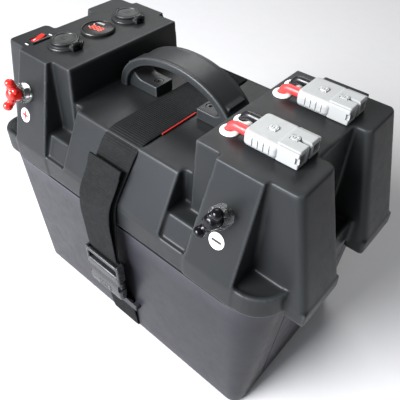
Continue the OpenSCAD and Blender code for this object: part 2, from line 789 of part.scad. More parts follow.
module buckle_male() {
  color([0.1, 0.1, 0.11]) translate([low_x, -buckle_y, buckle_z + slack]) {
    difference() {
      translate([-buckle_w / 2, -buckle_t / 2, 0]) cube([buckle_w, buckle_t, buckle_h / 2 - 2]);
      translate([-strap_w / 2 - 1, buckle_y - strap_line - 1.5, 11]) cube([strap_w + 2, 3, buckle_h]);
      translate([-strap_w / 2 - 1, -buckle_t, 22]) cube([strap_w + 2, buckle_t + buckle_y - strap_line - 1.5, 5]);
    }
    for (x = [-buckle_w / 2 + 4, -3, buckle_w / 2 - 10]) translate([x, -buckle_t / 2 + 3, -15]) cube([6, buckle_t - 6, 16]);
  }
}

tub();
lid();
handle();
handle_screws();
handle_nuts();
socket_bodies();
socket_shells();
socket_contacts();
socket_nuts();
cap_1();
cap_2();
cap_pins();
meter_body();
meter_lens();
meter_digits();
meter_nut();
switch_frame();
rocker();
switch_tabs();
stud_pos();
stud_neg();
collars();
stud_washers();
wing_pos();
wing_neg();
sticker_pos();
sticker_neg();
sticker_marks();
plug_1();
plug_2();
plug_contacts();
plug_screws();
grommets();
leads_red();
leads_black();
strap_upper();
strap_tail();
strap_lower();
strap_edge();
buckle_male();
buckle_female();
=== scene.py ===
import math

import bmesh
import bpy
from mathutils import Matrix, Vector, noise


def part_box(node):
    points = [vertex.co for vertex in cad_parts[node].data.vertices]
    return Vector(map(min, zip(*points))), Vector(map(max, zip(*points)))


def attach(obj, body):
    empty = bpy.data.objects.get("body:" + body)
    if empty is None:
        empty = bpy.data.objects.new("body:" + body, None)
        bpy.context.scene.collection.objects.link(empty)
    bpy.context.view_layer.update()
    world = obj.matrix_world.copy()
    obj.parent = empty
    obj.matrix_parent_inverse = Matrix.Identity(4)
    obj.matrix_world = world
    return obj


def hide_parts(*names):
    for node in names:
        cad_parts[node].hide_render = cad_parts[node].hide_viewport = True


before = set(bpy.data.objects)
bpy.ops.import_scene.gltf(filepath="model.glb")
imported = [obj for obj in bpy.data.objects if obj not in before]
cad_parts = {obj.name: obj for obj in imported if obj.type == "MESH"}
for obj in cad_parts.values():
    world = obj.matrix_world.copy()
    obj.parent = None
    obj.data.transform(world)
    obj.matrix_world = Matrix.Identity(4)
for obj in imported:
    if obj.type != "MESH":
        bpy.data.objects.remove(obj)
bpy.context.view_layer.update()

MM = 0.001


# ---------------------------------------------------------------- mesh helpers (all in millimetres)
class Shape:
    """Closed pieces gathered into one mesh."""

    def __init__(self):
        self.v, self.f = [], []

    def add(self, part, m=None):
        verts, faces = part
        k = len(self.v)
        self.v += [m @ Vector(p) if m else Vector(p) for p in verts]
        self.f += [[i + k for i in f] for f in faces]
        return self

    def obj(self, name, mat=None, sharp=35, paint=None):
        """Makes the object; paint adds to its mesh before the faces are checked."""
        me = bpy.data.meshes.new(name)
        me.from_pydata([p * MM for p in self.v], [], self.f)
        if paint:
            paint(me)
        me.validate()
        bm = bmesh.new()
        bm.from_mesh(me)
        bmesh.ops.recalc_face_normals(bm, faces=bm.faces)
        bm.to_mesh(me)
        bm.free()
        o = bpy.data.objects.new(name, me)
        bpy.context.scene.collection.objects.link(o)
        if mat:
            me.materials.append(mat)
        soften(o, sharp)
        return o


def soften(o, sharp):
    """Shades smooth, except across edges sharper than an angle."""
    o.data.polygons.foreach_set("use_smooth", [True] * len(o.data.polygons))
    if sharp:
        o.data.set_sharp_from_angle(angle=math.radians(sharp))


def hull(points):
    bm = bmesh.new()
    for p in points:
        bm.verts.new(p)
    bmesh.ops.convex_hull(bm, input=bm.verts)
    bmesh.ops.delete(bm, geom=[v for v in bm.verts if not v.link_faces], context="VERTS")
    bm.verts.index_update()
    out = [v.co.copy() for v in bm.verts], [[v.index for v in f.verts] for f in bm.faces]
    bm.free()
    return out


def block(x0, x1, y0, y1, z0, z1):
    return hull([(x, y, z) for x in (x0, x1) for y in (y0, y1) for z in (z0, z1)])


def along_x(x0, x1, pts):
    """Convex profile in Y and Z carried along X."""
    return hull([(x, p[0], p[1]) for x in (x0, x1) for p in pts])


def disc(x, y, r, z, n=24):
    turns = [2 * math.pi * i / n for i in range(n)]
    return [(x + r * math.cos(a), y + r * math.sin(a), z) for a in turns]


def rod(p, q, r, n=24, r2=None):
    p, q = Vector(p), Vector(q)
    turn = (q - p).to_track_quat("Z", "Y")
    a = [p + turn @ Vector(c) for c in disc(0, 0, r, 0, n)]
    b = [q + turn @ Vector(c) for c in disc(0, 0, r if r2 is None else r2, 0, n)]
    ends = [list(range(n)), list(range(n, 2 * n))]
    return a + b, ends + [[i, (i + 1) % n, n + (i + 1) % n, n + i] for i in range(n)]


def ball(c, r, squash=(1, 1, 1)):
    bm = bmesh.new()
    bmesh.ops.create_uvsphere(bm, u_segments=24, v_segments=12, radius=r)
    bm.verts.index_update()
    verts = [Vector([c[i] + v.co[i] * squash[i] for i in range(3)]) for v in bm.verts]
    faces = [[v.index for v in f.verts] for f in bm.faces]
    bm.free()
    return verts, faces


def fillet(pts, r, n=5, closed=False):
    """Rounds the corners of a line of points, in any number of dimensions."""
    out = []
    k = len(pts)
    for i, p in enumerate(pts):
        p = Vector(p)
        if not closed and i in (0, k - 1):
            out.append(p)
            continue
        a, b = Vector(pts[i - 1]) - p, Vector(pts[(i + 1) % k]) - p
        ri = r[i] if isinstance(r, (list, tuple)) else r
        cut = min(ri, a.length * 0.49, b.length * 0.49)
        if cut < 1e-3:
            out.append(p)
            continue
        a, b = p + a.normalized() * cut, p + b.normalized() * cut
        out += [a.lerp(p, t).lerp(p.lerp(b, t), t) for t in [j / n for j in range(n + 1)]]
    return out


def lathe(profile, n):
    """Turns a line of (radius, height) about Z. A radius of 0 closes on the axis."""
    verts, rings, faces = [], [], []
    for r, h in profile:
        if abs(r) < 1e-6:
            rings.append([len(verts)])
            verts.append(Vector((0, 0, h)))
        else:
            rings.append(list(range(len(verts), len(verts) + n)))
            verts += [Vector(c) for c in disc(0, 0, r, h, n)]
    pairs = list(zip(rings, rings[1:]))
    if len(rings[0]) > 1 or len(rings[-1]) > 1:
        pairs.append((rings[-1], rings[0]))
    for a, b in pairs:
        for i in range(n):
            j = (i + 1) % n
            f = [a[i % len(a)], a[j % len(a)], b[j % len(b)], b[i % len(b)]]
            f = list(dict.fromkeys(f))
            if len(f) > 2:
                faces.append(f)
    return verts, faces


def loft(loops, closed=False):
    """Joins rings of points; open ends are capped."""
    n = len(loops[0])
    verts = [Vector(p) for loop in loops for p in loop]
    faces = []
    k = len(loops)
    for a in range(k if closed else k - 1):
        b = (a + 1) % k
        faces += [[a * n + i, a * n + (i + 1) % n, b * n + (i + 1) % n, b * n + i] for i in range(n)]
    if not closed:
        faces += [list(range(n)), list(range((k - 1) * n, k * n))]
    return verts, faces


def rrect(l, d, r, z, n=8, left=None, shift=0.0):
    """Rounded rectangle in plan at height z; left is the corner radius at its -X end."""
    out = []
    for k, (sx, sy) in enumerate(((1, 1), (-1, 1), (-1, -1), (1, -1))):
        q = r if sx > 0 or left is None else left
        for i in range(n + 1):
            a = math.pi / 2 * (k + i / n)
            out.append((sx * (l / 2 - q) + q * math.cos(a) + shift, sy * (d / 2 - q) + q * math.sin(a), z))
    return out


def prism(outline, z0, z1, bevel=0.0, n=3):
    """Flat outline (x, y) raised in Z, its two edges rounded by bevel."""
    c = Vector((sum(p[0] for p in outline), sum(p[1] for p in outline))) / len(outline)
    loops = []

    def ring(inset, z):
        k = len(outline)
        out = []
        for i, p in enumerate(outline):
            a, b = Vector(outline[i - 1][:2]), Vector(outline[(i + 1) % k][:2])
            t = (b - a).normalized()
            nrm = Vector((t.y, -t.x))
            q = Vector(p[:2])
            if nrm.dot(q - c) < 0:
                nrm = -nrm
            out.append(Vector((*(q - nrm * inset), z)))
        return out

    steps = [math.pi / 2 * i / n for i in range(n + 1)] if bevel else [math.pi / 2]
    for a in steps:
        loops.append(ring(bevel * (1 - math.sin(a)), z0 + bevel * (1 - math.cos(a))))
    for a in reversed(steps):
        loops.append(ring(bevel * (1 - math.sin(a)), z1 - bevel * (1 - math.cos(a))))
    return loft(loops)


def plate(x0, x1, y0, y1, z0, z1, r, bevel, n=4, steps=3):
    """A block with upright edges rounded by r, and its top and bottom edges by bevel."""
    return prism(fillet([(x0, y0), (x1, y0), (x1, y1), (x0, y1)], r, n, True), z0, z1, bevel, steps)


def bake(o):
    """Applies the object's modifiers."""
    dg = bpy.context.evaluated_depsgraph_get()
    me = bpy.data.meshes.new_from_object(o.evaluated_get(dg))
    o.modifiers.clear()
    o.data = me
    return o


def remesh(o, size, rounds):
    """Fuses overlapping closed pieces and rounds their edges."""
    m = o.modifiers.new("fuse", "REMESH")
    m.mode = "VOXEL"
    m.voxel_size = size * MM
    s = o.modifiers.new("round", "SMOOTH")
    s.factor = 0.5
    s.iterations = rounds
    bake(o)
    soften(o, None)
    return o


def cut(o, tool, how="DIFFERENCE", sharp=35):
    """Cuts the tool away from an object, or joins it on, and removes the tool."""
    m = o.modifiers.new("cut", "BOOLEAN")
    m.operation = how
    m.solver = "MANIFOLD"
    m.object = tool
    bake(o)
    bpy.data.objects.remove(tool)
    soften(o, sharp)
    return o


def bevelled(o, width):
    b = o.modifiers.new("bevel", "BEVEL")
    b.width = width * MM
    b.segments = 2
    b.limit_method = "ANGLE"
    b.angle_limit = math.radians(30)
    b.harden_normals = False


def mirrored(part, sx, sy):
    return [Vector((p[0] * sx, p[1] * sy, p[2])) for p in part[0]], part[1]


# ---------------------------------------------------------------- materials
def material(name, colour, rough, metallic=0.0, vary=0.18, grain=1400, bump=0.12, depth=0.00012, coat=0.0,
             wear=0.25, spec=0.5, emit=None, glow=0.0, transmission=0.0, ior=1.46, blotch=30, rough_vary=0.12,
             weave=False, edge=0.0, skirt_shade_heights=None):
    """Mottled and scuffed surface with a fine grain. edge lightens sharp edges as a painted highlight, with
    some rubbed wear; weave adds the webbing's threads, and the last argument gives the two heights between
    which it darkens into painted shade, for the shadow where it goes under the skirt."""
    m = bpy.data.materials.new(name)
    m.use_nodes = True
    t = m.node_tree
    N, L = t.nodes, t.links
    b = N["Principled BSDF"]
    at = N.new("ShaderNodeTexCoord")

    def noise_at(scale, detail, rough_n=0.55):
        n = N.new("ShaderNodeTexNoise")
        n.inputs["Scale"].default_value = scale
        n.inputs["Detail"].default_value = detail
        n.inputs["Roughness"].default_value = rough_n
        L.new(at.outputs["Object"], n.inputs["Vector"])
        return n.outputs["Fac"]

    def remap(src, lo, hi, a, c):
        r = N.new("ShaderNodeMapRange")
        for k, v in zip(("From Min", "From Max", "To Min", "To Max"), (lo, hi, a, c)):
            r.inputs[k].default_value = v
        L.new(src, r.inputs["Value"])
        return r.outputs["Result"]

    coarse = noise_at(blotch, 4)
    fine = noise_at(grain, 3, 0.6)
    scuff = noise_at(blotch * 6, 6, 0.7)
    base = N.new("ShaderNodeMix")
    base.data_type = "RGBA"
    base.inputs["A"].default_value = (*[c * (1 - vary) for c in colour], 1)
    base.inputs["B"].default_value = (*[min(c * (1 + vary), 1) for c in colour], 1)
    L.new(remap(coarse, 0.3, 0.7, 0, 1), base.inputs["Factor"])
    specks = N.new("ShaderNodeMix")
    specks.data_type = "RGBA"
    specks.blend_type = "MULTIPLY"
    specks.inputs["B"].default_value = (1 - wear * 0.8, 1 - wear * 0.8, 1 - wear * 0.8, 1)
    L.new(base.outputs["Result"], specks.inputs["A"])
    L.new(remap(scuff, 0.56, 0.72, 0, 1), specks.inputs["Factor"])
    shade = specks.outputs["Result"]
    # painted highlight: sharp convex edges, found by pointiness, are lightened. This stands in for the shine
    # along the edges, with some rubbed wear
    if edge:
        geo = N.new("ShaderNodeNewGeometry")
        edge_wear_and_highlight = N.new("ShaderNodeMix")
        edge_wear_and_highlight.data_type = "RGBA"
        edge_wear_and_highlight.inputs["B"].default_value = (*[min(c * (1 + edge), 1) for c in colour], 1)
        L.new(shade, edge_wear_and_highlight.inputs["A"])
        L.new(remap(geo.outputs["Pointiness"], 0.505, 0.56, 0, 1), edge_wear_and_highlight.inputs["Factor"])
        shade = edge_wear_and_highlight.outputs["Result"]
    # painted shade: the surface is darkened above the given heights, standing in for the shadow under the lid's
    # skirt
    if skirt_shade_heights:
        place = N.new("ShaderNodeSeparateXYZ")
        L.new(at.outputs["Object"], place.inputs["Vector"])
        band = N.new("ShaderNodeMix")
        band.data_type = "RGBA"
        band.blend_type = "MULTIPLY"
        band.inputs["B"].default_value = (0.12, 0.12, 0.12, 1)
        L.new(shade, band.inputs["A"])
        L.new(remap(place.outputs["Z"], *skirt_shade_heights, 0, 1), band.inputs["Factor"])
        shade = band.outputs["Result"]
    L.new(shade, b.inputs["Base Color"])
    mixed = N.new("ShaderNodeMath")
    mixed.operation = "ADD"
    L.new(remap(fine, 0.3, 0.7, -rough_vary / 2, rough_vary / 2), mixed.inputs[0])
    L.new(remap(scuff, 0.35, 0.7, rough - rough_vary / 2, rough + rough_vary), mixed.inputs[1])
    L.new(mixed.outputs[0], b.inputs["Roughness"])
    height = fine
    if weave:
        uv = N.new("ShaderNodeUVMap")
        uv.uv_map = "weave"
        sep = N.new("ShaderNodeSeparateXYZ")
        L.new(uv.outputs["UV"], sep.inputs["Vector"])
        waves = []
        for axis, pitch in (("X", 1.15), ("Y", 0.65)):
            k = N.new("ShaderNodeMath")
            k.operation = "MULTIPLY"
            k.inputs[1].default_value = 2 * math.pi / pitch
            L.new(sep.outputs[axis], k.inputs[0])
            s = N.new("ShaderNodeMath")
            s.operation = "SINE"
            L.new(k.outputs[0], s.inputs[0])
            waves.append(s.outputs[0])
        mul = N.new("ShaderNodeMath")
        mul.operation = "MULTIPLY"
        L.new(waves[0], mul.inputs[0])
        L.new(waves[1], mul.inputs[1])
        add = N.new("ShaderNodeMath")
        add.operation = "MULTIPLY_ADD"
        add.inputs[1].default_value = 0.35
        L.new(mul.outputs[0], add.inputs[0])
        L.new(fine, add.inputs[2])
        height = add.outputs[0]
    bp = N.new("ShaderNodeBump")
    bp.inputs["Strength"].default_value = bump
    bp.inputs["Distance"].default_value = depth
    L.new(height, bp.inputs["Height"])
    L.new(bp.outputs["Normal"], b.inputs["Normal"])
    b.inputs["Metallic"].default_value = metallic
    b.inputs["Specular IOR Level"].default_value = spec
    b.inputs["IOR"].default_value = ior
    b.inputs["Coat Weight"].default_value = coat
    b.inputs["Coat Roughness"].default_value = 0.12
    b.inputs["Transmission Weight"].default_value = transmission
    if emit:
        b.inputs["Emission Color"].default_value = (*emit, 1)
        b.inputs["Emission Strength"].default_value = glow
    m.diffuse_color = (*colour, 1)
    return m


# edge sets the painted highlight on sharp edges
BLACK = material("moulded_black", (0.0118, 0.0130, 0.0137), 0.38, vary=0.06, bump=0.22, wear=0.05, spec=0.22,
                 blotch=14, rough_vary=0.06, edge=2.4)
# the tub's top band, from about 193 mm up, is darkened as painted shade for the shadow under the skirt
TUB_BLACK = material("tub_black", (0.0175, 0.0175, 0.0215), 0.38, vary=0.06, bump=0.2, wear=0.05, spec=0.22,
                     blotch=12, rough_vary=0.06, edge=1.6, skirt_shade_heights=(0.1930, 0.1950))
HANDLE_BLACK = material("handle_black", (0.017, 0.0185, 0.0195), 0.34, vary=0.06, bump=0.2, wear=0.05,
                        spec=0.32, blotch=20, rough_vary=0.06, edge=2.2)
GLOSS = material("gloss_black", (0.013, 0.0135, 0.014), 0.30, vary=0.2, bump=0.05, coat=0.08, wear=0.1,
                 rough_vary=0.08)
NUT_BLACK = material("nut_black", (0.003, 0.003, 0.004), 0.12, vary=0.2, bump=0.02, wear=0.1, rough_vary=0.03,
                     spec=0.28)
CAP = material("cap_black", (0.014, 0.015, 0.016), 0.34, vary=0.2, bump=0.12, wear=0.12, rough_vary=0.1)
NICKEL = material("nickel", (0.62, 0.62, 0.60), 0.24, metallic=1, vary=0.08, grain=900, bump=0.06, wear=0.2)
BRASS = material("brass", (0.62, 0.45, 0.18), 0.28, metallic=1, vary=0.12, grain=900, bump=0.06, wear=0.25)
ZINC = material("zinc", (0.55, 0.56, 0.58), 0.36, metallic=1, vary=0.12, grain=700, bump=0.1, wear=0.25)
PALE_SCREW = material("pale_screw", (0.46, 0.47, 0.47), 0.4, metallic=0.4, vary=0.1, grain=700, bump=0.1,
                      wear=0.2)
STEEL_BLACK = material("blackened_steel", (0.020, 0.020, 0.021), 0.3, metallic=0.5, vary=0.2, bump=0.08,
                       wear=0.2)
RED = material("red_gloss", (0.74, 0.020, 0.014), 0.14, vary=0.10, bump=0.03, coat=0.3, wear=0.08,
               rough_vary=0.05)
CLEAR = material("clear_plastic", (0.95, 0.965, 0.965), 0.01, vary=0.02, grain=90, bump=0.001, wear=0.02,
                 transmission=0.97, rough_vary=0.01, ior=1.14)
STUD = material("stud_steel", (0.20, 0.20, 0.20), 0.34, metallic=1, vary=0.1, grain=700, bump=0.08, wear=0.25)
LENS = material("meter_lens", (0.016, 0.013, 0.013), 0.34, vary=0.1, bump=0.02, wear=0.06, rough_vary=0.04,
                spec=0.3)
DIGIT = material("lit_red", (0.9, 0.10, 0.06), 0.4, vary=0.05, wear=0.02, emit=(1.0, 0.09, 0.04), glow=1.1)
WHITE = material("white_label", (0.80, 0.80, 0.79), 0.45, vary=0.03, bump=0.05, wear=0.04)
PRINT_GREY = material("print_grey", (0.30, 0.31, 0.31), 0.45, vary=0.06, wear=0.06)
PRINT_RED = material("print_red", (0.42, 0.008, 0.012), 0.5, vary=0.06, wear=0.06)
PRINT_BLACK = material("print_black", (0.02, 0.02, 0.022), 0.5, vary=0.1, wear=0.06)
GREY = material("connector_grey", (0.32, 0.33, 0.33), 0.42, vary=0.03, bump=0.12, wear=0.04)
GROMMET = material("grommet_white", (0.78, 0.775, 0.76), 0.36, vary=0.03, bump=0.08, wear=0.05)
WIRE_RED = material("wire_red", (0.74, 0.040, 0.040), 0.34, vary=0.08, bump=0.08, wear=0.06)
WIRE_BLACK = material("wire_black", (0.010, 0.010, 0.012), 0.24, vary=0.15, bump=0.06, wear=0.08)
WEB = material("webbing", (0.0085, 0.0092, 0.0095), 0.68, vary=0.18, grain=2600, bump=0.6, depth=0.00025,
               wear=0.12, weave=True, rough_vary=0.16, spec=0.12)
WEB_RED = material("webbing_red", (0.36, 0.014, 0.010), 0.6, vary=0.12, grain=2600, bump=0.5, depth=0.0002,
                   wear=0.12)
BUCKLE = material("buckle_black", (0.014, 0.015, 0.017), 0.26, vary=0.16, bump=0.1, wear=0.12, coat=0.1,
                  edge=0.8)
FLOOR = material("floor_pale", (0.56, 0.56, 0.57), 0.6, vary=0.01, grain=200, bump=0.02, wear=0.01)


def show(o, body, *replaced, slot=None):
    """Puts a piece on its body and hides the CAD nodes that it stands in for."""
    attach(o, body)
    if replaced:
        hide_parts(*replaced)
    return o


# ---------------------------------------------------------------- sizes, from the frame where it has them
def size(node):
    lo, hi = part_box(node)
    return [v / MM for v in lo], [v / MM for v in hi]


LID_LO, LID_HI = size("lid")
TOP = LID_HI[2]
SKIRT_Z = LID_LO[2]
SHOULDER = SKIRT_Z + 25
DECK = size("handle")[0][2]
WALL = 3.0
PANEL_WALL = 3.4
LOBE_WALL = 3.5
# each quarter of the lid reaches this far past the middle planes
MIDDLE = -1
TOWER_IN, TOWER_OUT, CORE_Y = 83.0, 172.0, 73.0
# an end lobe: outer face at its top and foot, where its sides start, its two sides at the foot,
# and how far out its foot stays clear of the tub
LOBE_X0, LOBE_X1 = 187.0, LID_HI[0]
LOBE_ROOT, LOBE_BACK = 166, 156
LOBE_Y0, LOBE_Y1 = 24, 85
LOBE_CLEAR = 195
SKIRT_L, SKIRT_D, SKIRT_R, SKIRT_R_LEFT = 392.0, 230.0, 34.0, 24.0
FOOT_Y = SKIRT_D / 2 - 1
PANEL_FOOT = FOOT_Y + 2
PANEL_Y = 84.0
PANEL_IN, PANEL_OUT, PANEL_ROOT = 111.0, 158.0, 103
TILT = math.atan((PANEL_FOOT - PANEL_Y) / (TOP - SHOULDER))
DECK_Y = 84.5
DECK_FRONT_X = 71
RIDGE = SHOULDER + 6
LEDGE_X, LEDGE_H = 50, 24
BEAD_W, BEAD_H = 4.5, 1.5


def lobe_points(r=7.0):
    out = []
    for z, k, lip in ((SKIRT_Z, 0.0, 4.0), (SKIRT_Z + 6, 0.03, 0.0), (TOP, 1.0, 0.0)):
        x = LOBE_X1 + (LOBE_X0 - LOBE_X1) * k - lip
        y1 = LOBE_Y0 + 4 * k + lip
        y2 = LOBE_Y1 - 6 * k - lip
        for c in ((LOBE_ROOT, y1 + 1, 1), (x - r, y1 + r, r), (x - r, y2 - r, r), (LOBE_BACK, y2 - 1, 1)):
            out += disc(c[0], c[1], c[2], z)
    return out


def lobe_foot(inset=0.0):
    """The part of an end lobe that hangs below the skirt, clear of the tub."""
    out = []
    for z, lip in ((SKIRT_Z - 12 - inset, 3.0), (SKIRT_Z - 7, 0.0), (SKIRT_Z + 7, 0.4)):
        g = lip + inset
        out += [(x, y, z) for x in (LOBE_CLEAR + inset, LOBE_X1 - g) for y in (LOBE_Y0 + g, LOBE_Y1 - g)]
    return hull(out)


def lobe_hollow():
    g = LOBE_WALL
    rows = ((SKIRT_Z - 4, LOBE_X1 - 4, 28, 81), (SKIRT_Z + 7, LOBE_X1 - 1, LOBE_Y0, LOBE_Y1),
            (TOP - WALL, LOBE_X0, 28, 79))
    out = []
    for z, x1, y0, y1 in rows:
        out += [(x, y, z) for x in (LOBE_ROOT + g, x1 - g) for y in (y0 + g, y1 - g)]
    return hull(out)


def leaning_panel(g, foot, top_y):
    """A terminal panel inset by g. The foot is its profile in Y and Z below the slope."""
    low = [(x, y, z) for x in (PANEL_ROOT + g, PANEL_OUT - g) for y, z in foot]
    high = [(x, y, TOP - g) for x in (PANEL_IN + g, PANEL_OUT - g) for y in (MIDDLE, top_y)]
    return hull(low + high)


def quarters(s, *parts):
    for sx in (1, -1):
        for sy in (1, -1):
            for p in parts:
                s.add(mirrored(p, sx, sy))


# ---------------------------------------------------------------- lid
def skirt_ring(g, z):
    return rrect(SKIRT_L - 2 * g, SKIRT_D - 2 * g, SKIRT_R - g, z, left=SKIRT_R_LEFT - g)


def lid_outside():
    z0 = SHOULDER - 4
    s = Shape()
    s.add(loft([skirt_ring(0, z) for z in (SKIRT_Z, SHOULDER)]))
    ledge = SHOULDER + LEDGE_H
    quarters(
        s,
        block(MIDDLE, TOWER_IN + 4, MIDDLE, CORE_Y + 4, z0, DECK),
        block(TOWER_IN, TOWER_OUT, MIDDLE, CORE_Y, z0, TOP),
        hull(lobe_points()),
        lobe_foot(),
        leaning_panel(0, ((MIDDLE, SKIRT_Z), (PANEL_FOOT, SKIRT_Z), (PANEL_FOOT, SHOULDER)), PANEL_Y),
        along_x(MIDDLE, DECK_FRONT_X, [(MIDDLE, z0), (FOOT_Y, z0), (FOOT_Y, RIDGE), (DECK_Y, DECK),
                                       (MIDDLE, DECK)]),
        along_x(LEDGE_X, PANEL_IN, [(MIDDLE, SHOULDER - 1), (FOOT_Y - 3, SHOULDER - 1), (FOOT_Y - 3, SHOULDER),
                                    (FOOT_Y - 14, ledge), (MIDDLE, ledge)]),
        along_x(TOWER_IN, 113, [(MIDDLE, SHOULDER - 1), (CORE_Y + 12, SHOULDER - 1), (CORE_Y + 4, TOP),
                                (MIDDLE, TOP)]),
    )
    low, high = SHOULDER - 3, SHOULDER + BEAD_H
    bead = [skirt_ring(g, z) for g, z in ((0, low), (0, high), (BEAD_W, high), (BEAD_W, low))]
    s.add(loft(bead, closed=True))
    return remesh(s.obj("lid_shell", BLACK), 1.5, 6)


def lid_inside():
    z0 = SHOULDER - 4
    zi = z0 - 3
    t, g = WALL, PANEL_WALL
    ledge = SHOULDER + LEDGE_H - t
    s = Shape()
    s.add(loft([skirt_ring(t, z) for z in (SKIRT_Z - 5, z0)]))
    quarters(
        s,
        block(MIDDLE, TOWER_IN + 4, MIDDLE, CORE_Y + 1, zi, DECK - t),
        block(TOWER_IN + t, TOWER_OUT - t, MIDDLE, CORE_Y - t, zi, TOP - t),
        leaning_panel(g, ((MIDDLE, zi), (PANEL_FOOT - 6, zi), (PANEL_FOOT - g, SHOULDER)),
                      PANEL_Y - g + g * math.tan(TILT)),
        along_x(MIDDLE, DECK_FRONT_X - 4, [(MIDDLE, zi), (FOOT_Y - 6, zi), (FOOT_Y - t, SHOULDER),
                                           (DECK_Y - t, DECK - t), (MIDDLE, DECK - t)]),
        along_x(LEDGE_X, PANEL_IN - t, [(MIDDLE, zi), (FOOT_Y - 6, zi), (FOOT_Y - t, SHOULDER),
                                        (FOOT_Y - 12 - t, ledge), (MIDDLE, ledge)]),
        along_x(TOWER_IN + t, 101, [(MIDDLE, zi), (CORE_Y + 9, zi), (CORE_Y + 1, TOP - t), (MIDDLE, TOP - t)]),
        block(TOWER_OUT - 12, TOWER_OUT + 2, 32, CORE_Y - t, zi, TOP - t),
        lobe_hollow(),
        lobe_foot(WALL),
    )
    return remesh(s.obj("lid_cavity"), 2.0, 3)


show(cut(lid_outside(), lid_inside(), sharp=None), "lid", "lid", slot="lid_plastic")


# ---------------------------------------------------------------- tub
TUB_H = size("tub")[1][2]
FLOOR_T, FLOOR_R = 6.5, 6.0
ROUND_STEPS, WALL_STEPS = 6, 12
# length, depth, corner radius at the +X end, at the -X end, and shift along X
BASE = (354.0, 208.0, 14.0, 14.0, -4.0)
RIM = (384.0, 221.0, 50.0, 22.0, 0.0)
GROOVE_Z0, GROOVE_Z1, GROOVE_DEEP = 193.5, 203.5, 1.3
SEAM_Y, SEAM_Z0, SEAM_Z1 = 57, 22, 200
KEEPER_Z0, KEEPER_Z1 = 53.5, 62.5


def tub_ring(z, g):
    l, d, r, left, shift = [a + (b - a) * z / TUB_H for a, b in zip(BASE, RIM)]
    return rrect(l - 2 * g, d - 2 * g, max(r - g, 1), z, 10, max(left - g, 1), shift)


def at_height(ring, z):
    return [(p[0], p[1], z) for p in ring]


def tub_corner(floor, wall, first):
    """Rings that round the edge between a floor and the walls."""
    out = []
    for i in range(first, ROUND_STEPS + 1):
        a = math.pi / 2 * i / ROUND_STEPS
        ring = tub_ring(floor + FLOOR_R, wall + FLOOR_R * (1 - math.sin(a)))
        out.append(at_height(ring, floor + FLOOR_R * (1 - math.cos(a))))
    return out


def tub_outside():
    loops = [tub_ring(0.0, FLOOR_R)] + tub_corner(0.0, 0.0, 0)
    loops += [tub_ring(TUB_H * k / WALL_STEPS, 0) for k in range(1, WALL_STEPS)]
    loops.append(tub_ring(TUB_H, 0))
    return Shape().add(loft(loops)).obj("tub_shell", TUB_BLACK, 40)


def tub_flange():
    rows = ((0.8, TUB_H - 4), (0, TUB_H - 3.2), (0, TUB_H - 0.9), (0.9, TUB_H))
    rings = [rrect(384.4 - 2 * b, 222.4 - 2 * b, 30.2 - b, z, 8, 20.2 - b) for b, z in rows]
    return Shape().add(loft(rings)).obj("flange")


def tub_inside():
    loops = [tub_ring(FLOOR_T, WALL + FLOOR_R)]
    loops += tub_corner(FLOOR_T, WALL, 1)
    loops += [tub_ring(TUB_H * k / WALL_STEPS, WALL) for k in range(1, WALL_STEPS + 1)]
    loops.append(at_height(tub_ring(TUB_H, WALL), TUB_H + 4))
    return Shape().add(loft(loops)).obj("inside")


def tub_groove():
    outer, inner = tub_ring(200, -4), tub_ring(200, GROOVE_DEEP)
    rows = ((outer, GROOVE_Z0), (outer, GROOVE_Z1), (inner, GROOVE_Z1), (inner, GROOVE_Z0))
    return Shape().add(loft([at_height(ring, z) for ring, z in rows], closed=True)).obj("groove")


def tub_seams():
    """A fine upright line near each side of both ends."""
    s = Shape()
    for y in (-SEAM_Y, SEAM_Y):
        for sx in (1, -1):
            run = []
            for z in (SEAM_Z0, SEAM_Z1):
                length = BASE[0] + (RIM[0] - BASE[0]) * z / TUB_H
                run.append((length / 2 + sx * BASE[4] * (1 - z / TUB_H), z))
            s.add(hull([(sx * (x + g), y + w, z) for x, z in run for g in (-1.6, 4) for w in (-0.8, 0.8)]))
    return s.obj("seams")


def make_tub():
    tub = tub_outside()
    cut(tub, tub_flange(), "UNION")
    cut(tub, tub_inside())
    lo, hi = size("strap_lower")
    mid, half = (lo[0] + hi[0]) / 2, (hi[0] - lo[0]) / 2
    cut(tub, Shape().add(block(mid - half - 2, mid + half + 2, -300, 300, -1, 4.6)).obj("channel"))
    cut(tub, Shape().add(block(mid - half - 2.5, mid + half + 2.5, -20, 20, 0, 2.2)).obj("bridge"), "UNION")
    cut(tub, tub_groove())
    cut(tub, tub_seams())
    show(tub, "tub", "tub", slot="tub_plastic")
    k = Shape()
    near, far, back = half + 2, half + 9, 113
    for s in (1, -1):
        for x0, x1, y0 in ((-far, -near, 104), (near, far, 104), (-far, far, 110.4)):
            k.add(plate(mid + x0, mid + x1, s * y0, s * back, KEEPER_Z0, KEEPER_Z1, 1.0, 0.9, 3))
    show(remesh(k.obj("keepers", TUB_BLACK), 0.5, 3), "tub", slot="tub_plastic")


make_tub()


